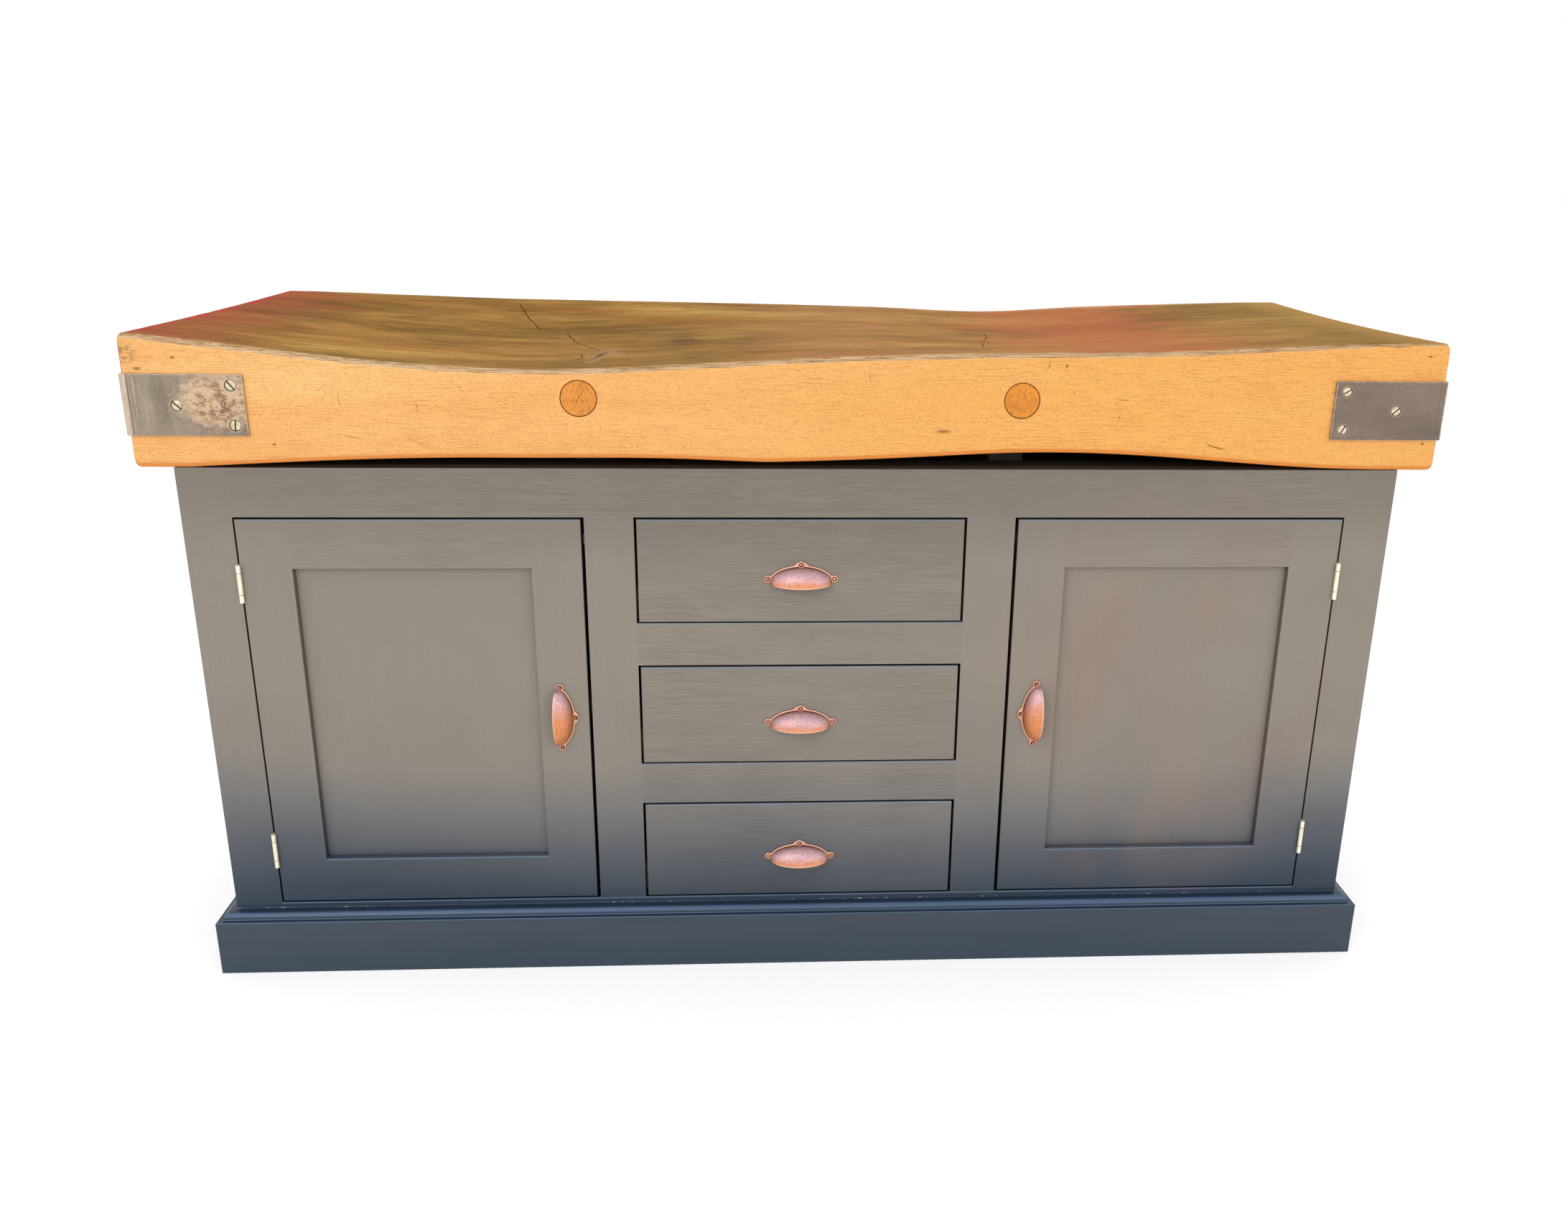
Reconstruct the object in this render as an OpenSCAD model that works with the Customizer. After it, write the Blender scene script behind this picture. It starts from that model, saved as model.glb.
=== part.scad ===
// Kitchen island unit: a worn butcher's block on a painted pine cupboard with
// two framed doors, three dovetailed drawers and a moulded plinth.
// Millimetres. X runs along the front, Y to the back, Z up from the floor.
// The origin is on the floor, under the middle of the unit.

/* [Cabinet] */
// Width of the carcass over its side panels
cabinet_w = 1580; // [1480:10:1900]
// Depth of the carcass, which is also the depth of the block
cabinet_d = 610; // [560:10:700]
// Height from the floor to the top of the carcass
cabinet_h = 723; // [680:1:780]

/* [Face frame] */
// Thickness of the front frame
frame_t = 22; // [18:1:28]
// Width of the two end stiles
end_stile_w = 63; // [50:1:80]
// Width of the stiles between doors and drawers
mullion_w = 64; // [50:0.5:80]
// Width of the rail over the doors
top_rail_w = 64.5; // [55:0.5:80]
// Width of the rails between the drawers
drawer_rail_w = 60; // [40:1:70]
// Width of the bottom rail, most of it behind the plinth
bottom_rail_w = 58; // [40:1:70]
// Clear width between the two mullions
drawer_opening_w = 437; // [380:1:520]
// Clear height of the top drawer opening
drawer_1_h = 146; // [120:1:160]
// Clear height of the middle drawer opening
drawer_2_h = 145.5; // [120:0.5:160]

/* [Carcass] */
// Thickness of the side panels, partitions, bottom and shelves
board_t = 18; // [15:1:22]
// Thickness of the boarded back
back_t = 15; // [12:1:18]
// Number of tongued and grooved boards in the back
back_boards_n = 15; // [11:1:18]
// Height of the shelves over the cupboard floor
shelf_rise = 265; // [180:5:320]
// Depth of the bearers under the block, from top to bottom
bearer_h = 60; // [45:1:62]
// Width of the front and back bearers
bearer_w = 33; // [25:1:45]
// Width of the cross bearers
cross_bearer_w = 45; // [35:1:60]
// Distance of the cross bearers from the middle
cross_bearer_x = 275; // [250:1:330]

/* [Plinth] */
// Height of the plinth against the carcass
plinth_h = 90; // [84:1:96]
// Thickness of the plinth boards
plinth_t = 23; // [21:1:26]
// Drop from the top of the plinth to its outer edge
plinth_drop = 10; // [9:0.5:12]
// Strip of the bottom rail that shows over the plinth
bottom_rail_show = 8.5; // [4:0.5:14]

/* [Doors] */
// Thickness of the door frames
door_t = 22; // [20:1:22]
// Width of the door stiles
door_stile_w = 66; // [56:1:80]
// Width of the door rails
door_rail_w = 66; // [56:1:80]
// Thickness of the flat door panels
panel_t = 8; // [6:0.5:9]
// Distance of the panel behind the face of its frame
panel_recess = 9; // [7:0.5:11]
// Depth of the grooves that hold the panel
groove_d = 9; // [6:1:12]
// Gap over the doors and drawer fronts
top_gap = 3; // [2:0.5:4]
// Gap under the doors and drawer fronts
bottom_gap = 1.6; // [1.4:0.1:3]
// Gap at the sides of the drawers
side_gap = 3.2; // [1.5:0.1:4]
// Gap on the lock side of the doors
lock_gap = 4.5; // [2:0.1:6]

/* [Hinges] */
// Height of a hinge
hinge_h = 51; // [44:1:64]
// Distance from the top of the door to the top hinge
hinge_top_inset = 60; // [50:1:100]
// Distance from the bottom of the door to the bottom hinge
hinge_bottom_inset = 56; // [50:1:100]
// Height of the short knuckles above and below the long one
short_knuckle_h = 11; // [9:0.5:13]
// Thickness of the hinge leaves
leaf_t = 1.2; // [1:0.1:1.6]
// Outer radius of the knuckles
knuckle_r = 3; // [2.8:0.1:3.4]
// Radius of the hinge pins
pin_r = 1.2; // [1:0.1:1.4]

/* [Drawers] */
// Thickness of the drawer fronts
drawer_front_t = 20; // [18:1:22]
// Thickness of the drawer sides and backs
drawer_side_t = 12; // [10:1:15]
// Thickness of the drawer bottoms
drawer_bottom_t = 6; // [5:0.5:8]
// Length of the drawers behind their fronts
drawer_l = 500; // [350:10:520]
// Number of tails at each corner of a drawer
tails_n = 3; // [2:1:4]
// Wood left in front of the tails in a drawer front
lap_t = 5; // [4:0.5:7]

/* [Cup pulls] */
// Width of the cup
cup_w = 82; // [70:1:96]
// Projection of the cup from the face
cup_r = 22; // [20:0.5:22.5]
// Thickness of the cup's wall
cup_wall = 1.8; // [1.4:0.1:2.4]
// Distance between the two side lugs
lug_span = 88.5; // [80:0.5:104]
// Height of the top lug over the side lugs
lug_rise = 19.4; // [18:0.1:21]
// Radius of the lugs
lug_r = 5; // [4.5:0.1:6]
// Distance of a door's pull from the lock edge of the door
door_pull_inset = 37.5; // [34:0.5:46]

/* [Block] */
// Overhang of the butcher's block past each side of the carcass
block_overhang = 46; // [30:1:70]
// Width of the front and back boards of the block
edge_board_w = 72; // [60:1:90]
// Number of planks between the front and back boards
core_planks_n = 4; // [3:1:5]
// How deep the wear is, where 1 is as worn as the real one
wear = 1; // [0:0.1:1.1]
// Roundness of the worn front edge
rim_r = 8; // [4:0.5:12]

/* [Block ironwork] */
// Thickness of the steel corner straps
strap_t = 4; // [3:0.5:5]
// Height of the straps
strap_h = 77; // [60:1:84]
// Length of each leg of a strap
strap_leg = 149; // [145:1:170]
// Height of the straps over the underside of the block
strap_z = 41; // [34:1:46]
// Diameter of the wooden plugs over the tie rods
plug_d = 46; // [36:1:50]
// Thickness of the plugs
plug_t = 20; // [15:1:25]
// Diameter of the tie rods
rod_d = 12; // [10:1:14]
// Distance of the tie rods from the middle
rod_x = 282; // [220:1:340]
// Height of the tie rods over the underside of the block
rod_z = 90; // [80:1:94]

/* [Hidden] */
$fn = 48;

// clearances
fit = 0.1;              // between a screw, peg, tongue or tail and its hole
seat = 0.3;             // between a moving piece and what it runs on or stops at
hinge_play = 0.6;       // what the hinge gap has over one leaf
pin_clear = 0.05;       // between a hinge pin and its knuckles
over = 1;               // how far a cutter reaches past what it cuts
thin = 1;               // a packer this thin is left out

// faces of the carcass
half_w = cabinet_w / 2;
half_d = cabinet_d / 2;
frame_back = -half_d + frame_t;
open_half = drawer_opening_w / 2;
door_in = open_half + mullion_w;
door_out = half_w - end_stile_w;
open_top = cabinet_h - top_rail_w;
open_bottom = plinth_h + bottom_rail_show;
side_inner = half_w - board_t;
back_face = half_d - back_t;
partition_x = open_half + mullion_w / 2;
bearer_front_y = frame_back + bearer_w;
bearer_back_y = back_face - bearer_w;
bearer_z = cabinet_h - bearer_h;
shelf_z = open_bottom + shelf_rise;

// drawer openings, from the top: [bottom, height]
drawer_3_h = open_top - open_bottom - drawer_1_h - drawer_2_h - 2 * drawer_rail_w;
drawer_hs = [drawer_1_h, drawer_2_h, drawer_3_h];
drawer_zs = [open_top - drawer_1_h,
  open_top - drawer_1_h - drawer_rail_w - drawer_2_h,
  open_bottom];

// drawers
front_half = open_half - side_gap;
front_back_y = -half_d + drawer_front_t;
drawer_end_y = front_back_y + drawer_l;
bottom_rise = 8;        // from the lower edge of a drawer to its bottom
bottom_tuck = 5;        // how far the bottom runs into its grooves
side_drop = 6;          // the sides are this much lower than the front
back_drop = 5;          // and the back this much lower than the sides
tail_share = 0.62;      // width of a tail against its share of the height
tail_slope = 1 / 6;
runner_w = 42;
runner_h = 20;
guide_h = 42;
guide_clear = 0.8;

// doors
hinge_gap = leaf_t + hinge_play;
door_w = door_out - door_in - hinge_gap - lock_gap;
door_z = open_bottom + bottom_gap;
door_h = open_top - top_gap - door_z;
lock_x = door_in + lock_gap;
tenon_l = groove_d - 1;
arris_r = 1.5;          // softened front edges of the doors and drawers

// hinges: the axis stands in front of the gap
axis_x = door_out - hinge_gap / 2;
axis_y = -half_d - knuckle_r - seat;
leaf_back_y = -half_d + 19;
inner_leaf_back_y = -half_d + 12;
leaf_root_y = axis_y + (knuckle_r + pin_r) / 2;
leaf_play = 0.3;
hinge_zs = [door_z + hinge_bottom_inset, door_z + door_h - hinge_top_inset - hinge_h];
inner_leaf_z = short_knuckle_h + leaf_play;
inner_leaf_h = hinge_h - 2 * inner_leaf_z;

// screws: [head radius, head height, shank radius, shank length, slot width]
leaf_screw = [2, 0.9, 0.9, 11, 0.5];
pull_screw = [2.6, 1.5, 1.1, 12, 0.6];
strap_screw = [6.5, 3, 2.5, 32, 1.6];
frame_screw_zs = [short_knuckle_h / 2, hinge_h / 2, hinge_h - short_knuckle_h / 2];
door_screw_zs = [hinge_h * 0.35, hinge_h * 0.65];
frame_screw_edge = 3.5; // from the inner edge of a leaf to its screws
door_screw_edge = 4;

// cup pulls: the side lugs are at the height 0
cup_drop = 6.2;         // the centre of the cup lies this far under the side lugs
cup_turn = 7;           // degrees that the lip turns in under the centre
flange_t = 2;
flange_w = 3;
pull_drop = 10;         // the side lugs lie this far under a drawer front's middle

// door catches and their plates
catch_w = 56;
catch_h = 14;
catch_d = 20;
catch_drop = 40;
catch_plate_t = 1.2;
catch_plate_in = 4;     // from the lock edge of the door to the plate
catch_plate_short = 3;  // the plate ends this far before the catch

// block
block_half_w = half_w + block_overhang;
core_w = (cabinet_d - 2 * edge_board_w) / core_planks_n;
stations_n = 44;
end_round = 5;
back_rim_r = 4;
low_round = 4;          // softened lower edge of the front and back boards
rim_share = 0.3;        // where the rounding of an edge has its middle point
across_n = 3;           // steps across each board
// wear as lobes: [middle, half width, depth, sharpness], the first two as shares
// of half the width of the block or, underneath, of its seat on the carcass
front_wear = [[-0.41, 0.83, 48, 2], [0.39, 0.64, 19, 2]];
mid_wear = [[-0.48, 0.67, 16, 2], [0.4, 0.56, 12, 2], [1, 0.4, 4, 2]];
back_wear = [[-0.45, 0.62, 10, 2], [0.29, 0.8, 17, 2], [0.39, 0.23, 5, 2]];
under_wear = [[-0.53, 0.47, 13, 1], [-0.12, 0.39, 7, 2], [0.42, 0.58, 22, 2]];
front_ends = [177, 167]; // height of the block at its left and right ends
back_ends = [164, 161];
nut_r = 12;
nut_t = 10;
washer_r = 15;
washer_t = 3;
nut_room = 20;          // depth of the pocket for nut and washer under a plug
rod_past_nut = 2;
packer_l = 90;

// places of the strap screws along a leg, and off its middle
strap_near = 66;
strap_far = 134;
strap_rise = 25;

painted = [0.42, 0.42, 0.42];
sycamore = [0.93, 0.66, 0.36];
pine = [0.85, 0.7, 0.48];
copper = [0.75, 0.42, 0.33];
brass = [0.8, 0.72, 0.5];
steel = [0.42, 0.38, 0.33];

// ---- helpers ----------------------------------------------------------

// A board between two corners
module board(a, b) translate(a) cube(b - a);

// Both hands of what lies at +X
module both() { children(); mirror([1, 0, 0]) children(); }

// Points of an arc in a plane
function arc(cx, cy, r, a0, a1, n) =
  [for (i = [0 : n]) let(a = a0 + (a1 - a0) * i / n) [cx + r * cos(a), cy + r * sin(a)]];

// A slab standing on z = 0 with its face at y = 0 and softened front edges
module slab(w, h, t) {
  intersection() {
    linear_extrude(h) polygon(concat(
      [[w, t], [0, t]], arc(arris_r, arris_r, arris_r, 180, 270, 4),
      arc(w - arris_r, arris_r, arris_r, 270, 360, 4)));
    rotate([90, 0, 90]) linear_extrude(w) polygon(concat(
      [[t, h], [t, 0]], arc(arris_r, arris_r, arris_r, 270, 180, 4),
      arc(arris_r, h - arris_r, arris_r, 180, 90, 4)));
  }
}

// A countersunk or round-headed screw that points down from z = 0
module screw(s, sunk = true) {
  difference() {
    union() {
      translate([0, 0, -s[3]]) cylinder(h = s[3], r = s[2]);
      if (sunk) translate([0, 0, -s[1]]) cylinder(h = s[1], r1 = s[2], r2 = s[0]);
      else cylinder(h = s[1], r1 = s[0], r2 = s[0] * 0.6);
    }
    translate([-s[0], -s[4] / 2, (sunk ? 0 : s[1]) - s[4]]) cube([2 * s[0], s[4], s[4] + 1]);
  }
}

// The hole for it
module screw_hole(s, sunk = true) {
  translate([0, 0, -s[3] - fit]) cylinder(h = s[3] + fit + 1, r = s[2] + fit);
  if (sunk) {
    translate([0, 0, -s[1] - fit]) cylinder(h = s[1] + fit, r1 = s[2] + fit, r2 = s[0] + fit);
    cylinder(h = 1, r = s[0] + fit);
  }
}

// Tails that stand on the line y = 0 and reach l along y, on a height h along z
module tails(h, l, t, grow) {
  pitch = h / tails_n;
  end_w = pitch * tail_share;
  neck_w = end_w - 2 * l * tail_slope;
  for (i = [0 : tails_n - 1]) translate([0, 0, (i + 0.5) * pitch])
    rotate([90, 0, 90]) linear_extrude(t) polygon([
      [-1, -neck_w / 2 - grow], [0, -neck_w / 2 - grow],
      [l + grow, -end_w / 2 - grow], [l + grow, end_w / 2 + grow],
      [0, neck_w / 2 + grow], [-1, neck_w / 2 + grow]]);
}

// ---- face frame and carcass -------------------------------------------

module end_stile() color(painted) difference() {
  board([door_out, -half_d, 0], [half_w, frame_back, cabinet_h]);
  stile_screws() screw_hole(leaf_screw);
}

module stile_left() mirror([1, 0, 0]) end_stile();
module stile_right() end_stile();

module mullions() color(painted) both()
  board([open_half, -half_d, open_bottom], [door_in, frame_back, open_top]);

module rail_top() color(painted)
  board([-door_out, -half_d, open_top], [door_out, frame_back, cabinet_h]);

module rail_bottom() color(painted)
  board([-door_out, -half_d, open_bottom - bottom_rail_w], [door_out, frame_back, open_bottom]);

module drawer_rails() color(painted) for (i = [0, 1])
  board([-open_half, -half_d, drawer_zs[i] - drawer_rail_w], [open_half, frame_back, drawer_zs[i]]);

module side_panel() color(painted) difference() {
  board([side_inner, frame_back, 0], [half_w, half_d, cabinet_h]);
  peg_places() cylinder(h = peg_l, r = peg_r + fit, center = true);
}

module side_panel_left() mirror([1, 0, 0]) side_panel();
module side_panel_right() side_panel();

back_w = 2 * side_inner / back_boards_n;
tongue_l = 5;
tongue_t = 4;
v_cut = 3;

module back_board(first, last) {
  mid = half_d - back_t / 2;
  linear_extrude(cabinet_h) difference() {
    union() {
      polygon([[0, back_face], [back_w, back_face], [back_w, half_d - v_cut],
        [back_w - v_cut, half_d], [v_cut, half_d], [0, half_d - v_cut]]);
      if (!last) translate([back_w - 1, mid - tongue_t / 2]) square([tongue_l + 1, tongue_t]);
    }
    if (!first) translate([-1, mid - tongue_t / 2 - fit])
      square([tongue_l + fit + 1, tongue_t + 2 * fit]);
  }
}

module back_boards() color(painted) for (i = [0 : back_boards_n - 1])
  translate([-side_inner + i * back_w, 0, 0]) back_board(i == 0, i == back_boards_n - 1);

module bottom_board() color(pine)
  board([-side_inner, frame_back, open_bottom - board_t], [side_inner, back_face, open_bottom]);

module partitions() color(pine) both() difference() {
  board([partition_x - board_t / 2, frame_back, open_bottom],
    [partition_x + board_t / 2, back_face, bearer_z]);
  peg_places() cylinder(h = peg_l, r = peg_r + fit, center = true);
}

// The packer on each cross bearer fills the worn hollow under the block
module bearers() color(pine) {
  board([-side_inner, frame_back, bearer_z], [side_inner, bearer_front_y, cabinet_h]);
  board([-side_inner, bearer_back_y, bearer_z], [side_inner, back_face, cabinet_h]);
  for (s = [-1, 1]) {
    x0 = s * cross_bearer_x - cross_bearer_w / 2;
    x1 = x0 + cross_bearer_w;
    board([x0, bearer_front_y, bearer_z], [x1, bearer_back_y, cabinet_h]);
    packer_h = min(block_under(x0), block_under(x1)) - seat;
    if (packer_h > thin) for (y = [bearer_front_y, bearer_back_y - packer_l])
      board([x0, y, cabinet_h], [x1, y + packer_l, cabinet_h + packer_h]);
  }
}

// ---- shelves ----------------------------------------------------------

peg_r = 3;
peg_l = 20;
peg_inset = 60;
shelf_gap = 1;
shelf_setback = 25;     // of the shelves behind the face frame
shelf_in = partition_x + board_t / 2 + shelf_gap;
shelf_out = side_inner - shelf_gap;
shelf_front_y = frame_back + shelf_setback;

// The four pegs of the cupboard at +X
module peg_places() {
  for (x = [partition_x + board_t / 2, side_inner], y = [shelf_front_y, back_face])
    translate([x, y + (y < 0 ? peg_inset : -peg_inset), shelf_z - peg_r - fit])
      rotate([0, 90, 0]) children();
}

module shelves() color(pine) both()
  board([shelf_in, shelf_front_y, shelf_z], [shelf_out, back_face - shelf_gap, shelf_z + board_t]);

module shelf_pegs() color(brass) both() peg_places() cylinder(h = peg_l, r = peg_r, center = true);

// ---- plinth -----------------------------------------------------------

// Profile of the plinth: x is the projection, y the height
cove_r = 1.6;
soft = 1;               // softened outer edge, and the slope of the flat on top
plinth_profile = let(
    edge_z = plinth_h - plinth_drop,
    flat = plinth_t * 0.35,
    ovolo_r = plinth_drop * 0.72,
    step_x = flat + ovolo_r)
  concat(
    [[0, 0], [plinth_t, 0], [plinth_t, edge_z - soft], [plinth_t - soft, edge_z]],
    arc(step_x + cove_r, edge_z + cove_r, cove_r, 270, 180, 4),
    arc(flat, plinth_h - soft - ovolo_r, ovolo_r, 0, 90, 8),
    [[0, plinth_h]]);

// One run of plinth along +X, standing out towards -Y from y = 0, mitred at both ends
module plinth_run(l) intersection() {
  translate([-l / 2 - plinth_t, 0, 0]) rotate([90, 0, 90]) mirror([1, 0, 0])
    linear_extrude(l + 2 * plinth_t) polygon(plinth_profile);
  linear_extrude(plinth_h) polygon([[-l / 2, 0], [l / 2, 0],
    [l / 2 + plinth_t, -plinth_t], [-l / 2 - plinth_t, -plinth_t]]);
}

module plinth_front() color(painted) translate([0, -half_d, 0]) plinth_run(cabinet_w);
module plinth_back() color(painted) rotate(180) translate([0, -half_d, 0]) plinth_run(cabinet_w);
module plinth_sides() color(painted) both()
  rotate(90) translate([0, -half_w, 0]) plinth_run(cabinet_d);

// ---- drawer runners ---------------------------------------------------

guide_x = front_half + guide_clear;
runner_out = partition_x - board_t / 2;

// The lowest drawer runs on a thin strip on the bottom board
module drawer_runners() color(pine) both() for (z = drawer_zs) {
  top = z + bottom_gap - seat;
  board([runner_out - runner_w, frame_back, max(top - runner_h, open_bottom)],
    [runner_out, back_face, top]);
}

// The guides keep a drawer straight, and the block at the rear of each stops it
module drawer_guides() color(pine) both() for (z = drawer_zs) {
  top = z + bottom_gap - seat;
  board([guide_x, frame_back, top], [runner_out, back_face, top + guide_h]);
  if (drawer_end_y + seat < back_face - 1)
    board([guide_x - drawer_side_t, drawer_end_y + seat, top], [guide_x, back_face, top + guide_h]);
}

// ---- hinges, for the door at +X ---------------------------------------

module hinge_places() for (z = hinge_zs) translate([0, 0, z]) children();

// Screws through the frame leaf into the end stile
module stile_screws() hinge_places() for (z = frame_screw_zs)
  translate([door_out - leaf_t, leaf_back_y - frame_screw_edge, z]) rotate([0, -90, 0]) children();

// Screws through the door leaf into the door
module door_leaf_screws() hinge_places() for (z = door_screw_zs)
  translate([door_out - hinge_gap + leaf_t, inner_leaf_back_y - door_screw_edge, z]) rotate([0, 90, 0])
    children();

module knuckle(z, h) translate([axis_x, axis_y, z]) cylinder(h = h, r = knuckle_r);

module pin_bore() translate([axis_x, axis_y, -over])
  cylinder(h = hinge_h + 2 * over, r = pin_r + pin_clear);

module frame_leaves() color(brass) both() difference() {
  hinge_places() difference() {
    union() {
      board([door_out - leaf_t, leaf_root_y, 0], [door_out, leaf_back_y, hinge_h]);
      knuckle(0, short_knuckle_h);
      knuckle(hinge_h - short_knuckle_h, short_knuckle_h);
    }
    board([door_out - leaf_t - over, leaf_root_y - over, short_knuckle_h],
      [door_out + over, inner_leaf_back_y + leaf_play, hinge_h - short_knuckle_h]);
    pin_bore();
  }
  stile_screws() screw_hole(leaf_screw);
}

module hinge_pins() color(brass) both() hinge_places()
  translate([axis_x, axis_y, 0]) cylinder(h = hinge_h, r = pin_r);

module frame_screws() color(brass) both() stile_screws() screw(leaf_screw);

module door_leaves() color(brass) difference() {
  hinge_places() difference() {
    union() {
      board([door_out - hinge_gap, leaf_root_y, inner_leaf_z],
        [door_out - hinge_gap + leaf_t, inner_leaf_back_y, inner_leaf_z + inner_leaf_h]);
      knuckle(inner_leaf_z, inner_leaf_h);
    }
    pin_bore();
  }
  door_leaf_screws() screw_hole(leaf_screw);
}

// ---- door catches -----------------------------------------------------

catch_x = partition_x + board_t / 2;
catch_z = door_z + door_h - catch_drop;
catch_front_y = -half_d + door_t + catch_plate_t + seat;

module door_catches() color(steel) both()
  board([catch_x, catch_front_y, catch_z],
    [catch_x + catch_w, catch_front_y + catch_d, catch_z + catch_h]);

// ---- the door at +X ---------------------------------------------------

panel_y = -half_d + panel_recess;
groove_y = panel_y - fit;
groove_t = panel_t + 2 * fit;
door_edge = door_out - hinge_gap;
plate_x = lock_x + catch_plate_in;
plate_w = catch_x + catch_w - plate_x - catch_plate_short;

// Keeps a part of the frame within the softened outer edges of the door
module within_door() intersection() {
  translate([lock_x, -half_d, door_z]) slab(door_w, door_h, door_t);
  children();
}

module door_stiles() color(painted) {
  difference() {
    within_door() board([lock_x, -half_d, door_z],
      [lock_x + door_stile_w, -half_d + door_t, door_z + door_h]);
    board([lock_x + door_stile_w - groove_d, groove_y, door_z - 1],
      [lock_x + door_stile_w + 1, groove_y + groove_t, door_z + door_h + 1]);
    door_pull_place() lug_places() screw_hole(pull_screw, false);
  }
  difference() {
    within_door() board([door_edge - door_stile_w, -half_d, door_z],
      [door_edge, -half_d + door_t, door_z + door_h]);
    board([door_edge - door_stile_w - 1, groove_y, door_z - 1],
      [door_edge - door_stile_w + groove_d, groove_y + groove_t, door_z + door_h + 1]);
    door_leaf_screws() screw_hole(leaf_screw);
  }
}

// A rail at the height z, with stub tenons in the grooves of the stiles
module door_rail(z, groove_z) difference() {
  within_door() {
    board([lock_x + door_stile_w, -half_d, z],
      [door_edge - door_stile_w, -half_d + door_t, z + door_rail_w]);
    board([lock_x + door_stile_w - tenon_l, panel_y, z],
      [door_edge - door_stile_w + tenon_l, panel_y + panel_t, z + door_rail_w]);
  }
  board([lock_x, groove_y, groove_z], [door_edge, groove_y + groove_t, groove_z + groove_d + 1]);
}

module door_rails() color(painted) {
  door_rail(door_z, door_z + door_rail_w - groove_d);
  door_rail(door_z + door_h - door_rail_w, door_z + door_h - door_rail_w - 1);
}

module door_panel() color(painted)
  board([lock_x + door_stile_w - tenon_l, panel_y, door_z + door_rail_w - tenon_l],
    [door_edge - door_stile_w + tenon_l, panel_y + panel_t,
      door_z + door_h - door_rail_w + tenon_l]);

module door_pull_place()
  translate([lock_x + door_pull_inset, -half_d, door_z + door_h / 2])
    rotate([90, 0, 0]) rotate(90) children();

// The screws of the pull and of the hinges, and the plate that meets the catch
module door_fixings() {
  color(copper) door_pull_place() pull_screws();
  color(brass) door_leaf_screws() screw(leaf_screw);
  color(steel) board([plate_x, -half_d + door_t, catch_z],
    [plate_x + plate_w, -half_d + door_t + catch_plate_t, catch_z + catch_h]);
}

module door_left_stiles() mirror([1, 0, 0]) door_stiles();
module door_left_rails() mirror([1, 0, 0]) door_rails();
module door_left_panel() mirror([1, 0, 0]) door_panel();
module door_left_leaves() mirror([1, 0, 0]) door_leaves();
module door_left_pull() mirror([1, 0, 0]) door_pull_place() cup_pull();
module door_left_fixings() mirror([1, 0, 0]) door_fixings();
module door_right_stiles() door_stiles();
module door_right_rails() door_rails();
module door_right_panel() door_panel();
module door_right_leaves() door_leaves();
module door_right_pull() door_pull_place() cup_pull();
module door_right_fixings() door_fixings();

// ---- cup pulls --------------------------------------------------------

// Half an ellipse with the half width a and the height b
function half_ellipse(a, b, n = 28) = [for (i = [0 : n]) [a * cos(180 * i / n), b * sin(180 * i / n)]];
function backwards(l) = [for (i = [len(l) - 1 : -1 : 0]) l[i]];

module lug_places() for (p = [[-lug_span / 2, 0], [lug_span / 2, 0], [0, lug_rise]])
  translate(p) children();

module pull_screws() lug_places() translate([0, 0, flange_t]) screw(pull_screw, false);

// The face it stands on is z = 0, the side lugs are at y = 0 and the top lug over them.
// The cup is a thin spindle shell, turned about its long axis from the face to the lip.
module cup_pull() color(copper) difference() {
  union() {
    translate([0, -cup_drop, 0]) {
      rotate([0, -90, 0]) rotate(-cup_turn) rotate_extrude(angle = 90 + cup_turn)
        rotate(-90) polygon(concat(half_ellipse(cup_w / 2, cup_r),
          backwards(half_ellipse(cup_w / 2 - cup_wall, cup_r - cup_wall))));
      linear_extrude(flange_t) polygon(concat(
        half_ellipse(cup_w / 2 + flange_w, cup_r + flange_w),
        backwards(half_ellipse(cup_w / 2 - cup_wall, cup_r - cup_wall))));
    }
    lug_places() cylinder(h = flange_t, r = lug_r);
  }
  lug_places() translate([0, 0, -1]) cylinder(h = flange_t + 2, r = pull_screw[2] + fit);
}

// ---- drawers ----------------------------------------------------------

tail_l = drawer_front_t - lap_t;
box_in = front_half - drawer_side_t;
back_rise = bottom_rise + drawer_bottom_t;
function drawer_z(i) = drawer_zs[i] + bottom_gap;
function front_h(i) = drawer_hs[i] - top_gap - bottom_gap;
function side_h(i) = front_h(i) - side_drop;
function back_h(i) = side_h(i) - back_drop - back_rise;

module drawer_pull_place(i)
  translate([0, -half_d, drawer_z(i) + front_h(i) / 2 - pull_drop]) rotate([90, 0, 0]) children();

module drawer_front(i) color(painted) difference() {
  translate([-front_half, -half_d, drawer_z(i)]) slab(2 * front_half, front_h(i), drawer_front_t);
  both() translate([box_in - fit, front_back_y, drawer_z(i)]) mirror([0, 1, 0])
    tails(side_h(i), tail_l, drawer_side_t + 1, fit);
  translate([0, 0, drawer_z(i) + bottom_rise])
    board([-box_in - fit, front_back_y - bottom_tuck, -fit],
      [box_in + fit, front_back_y + 1, drawer_bottom_t + fit]);
  drawer_pull_place(i) lug_places() screw_hole(pull_screw, false);
}

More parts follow.
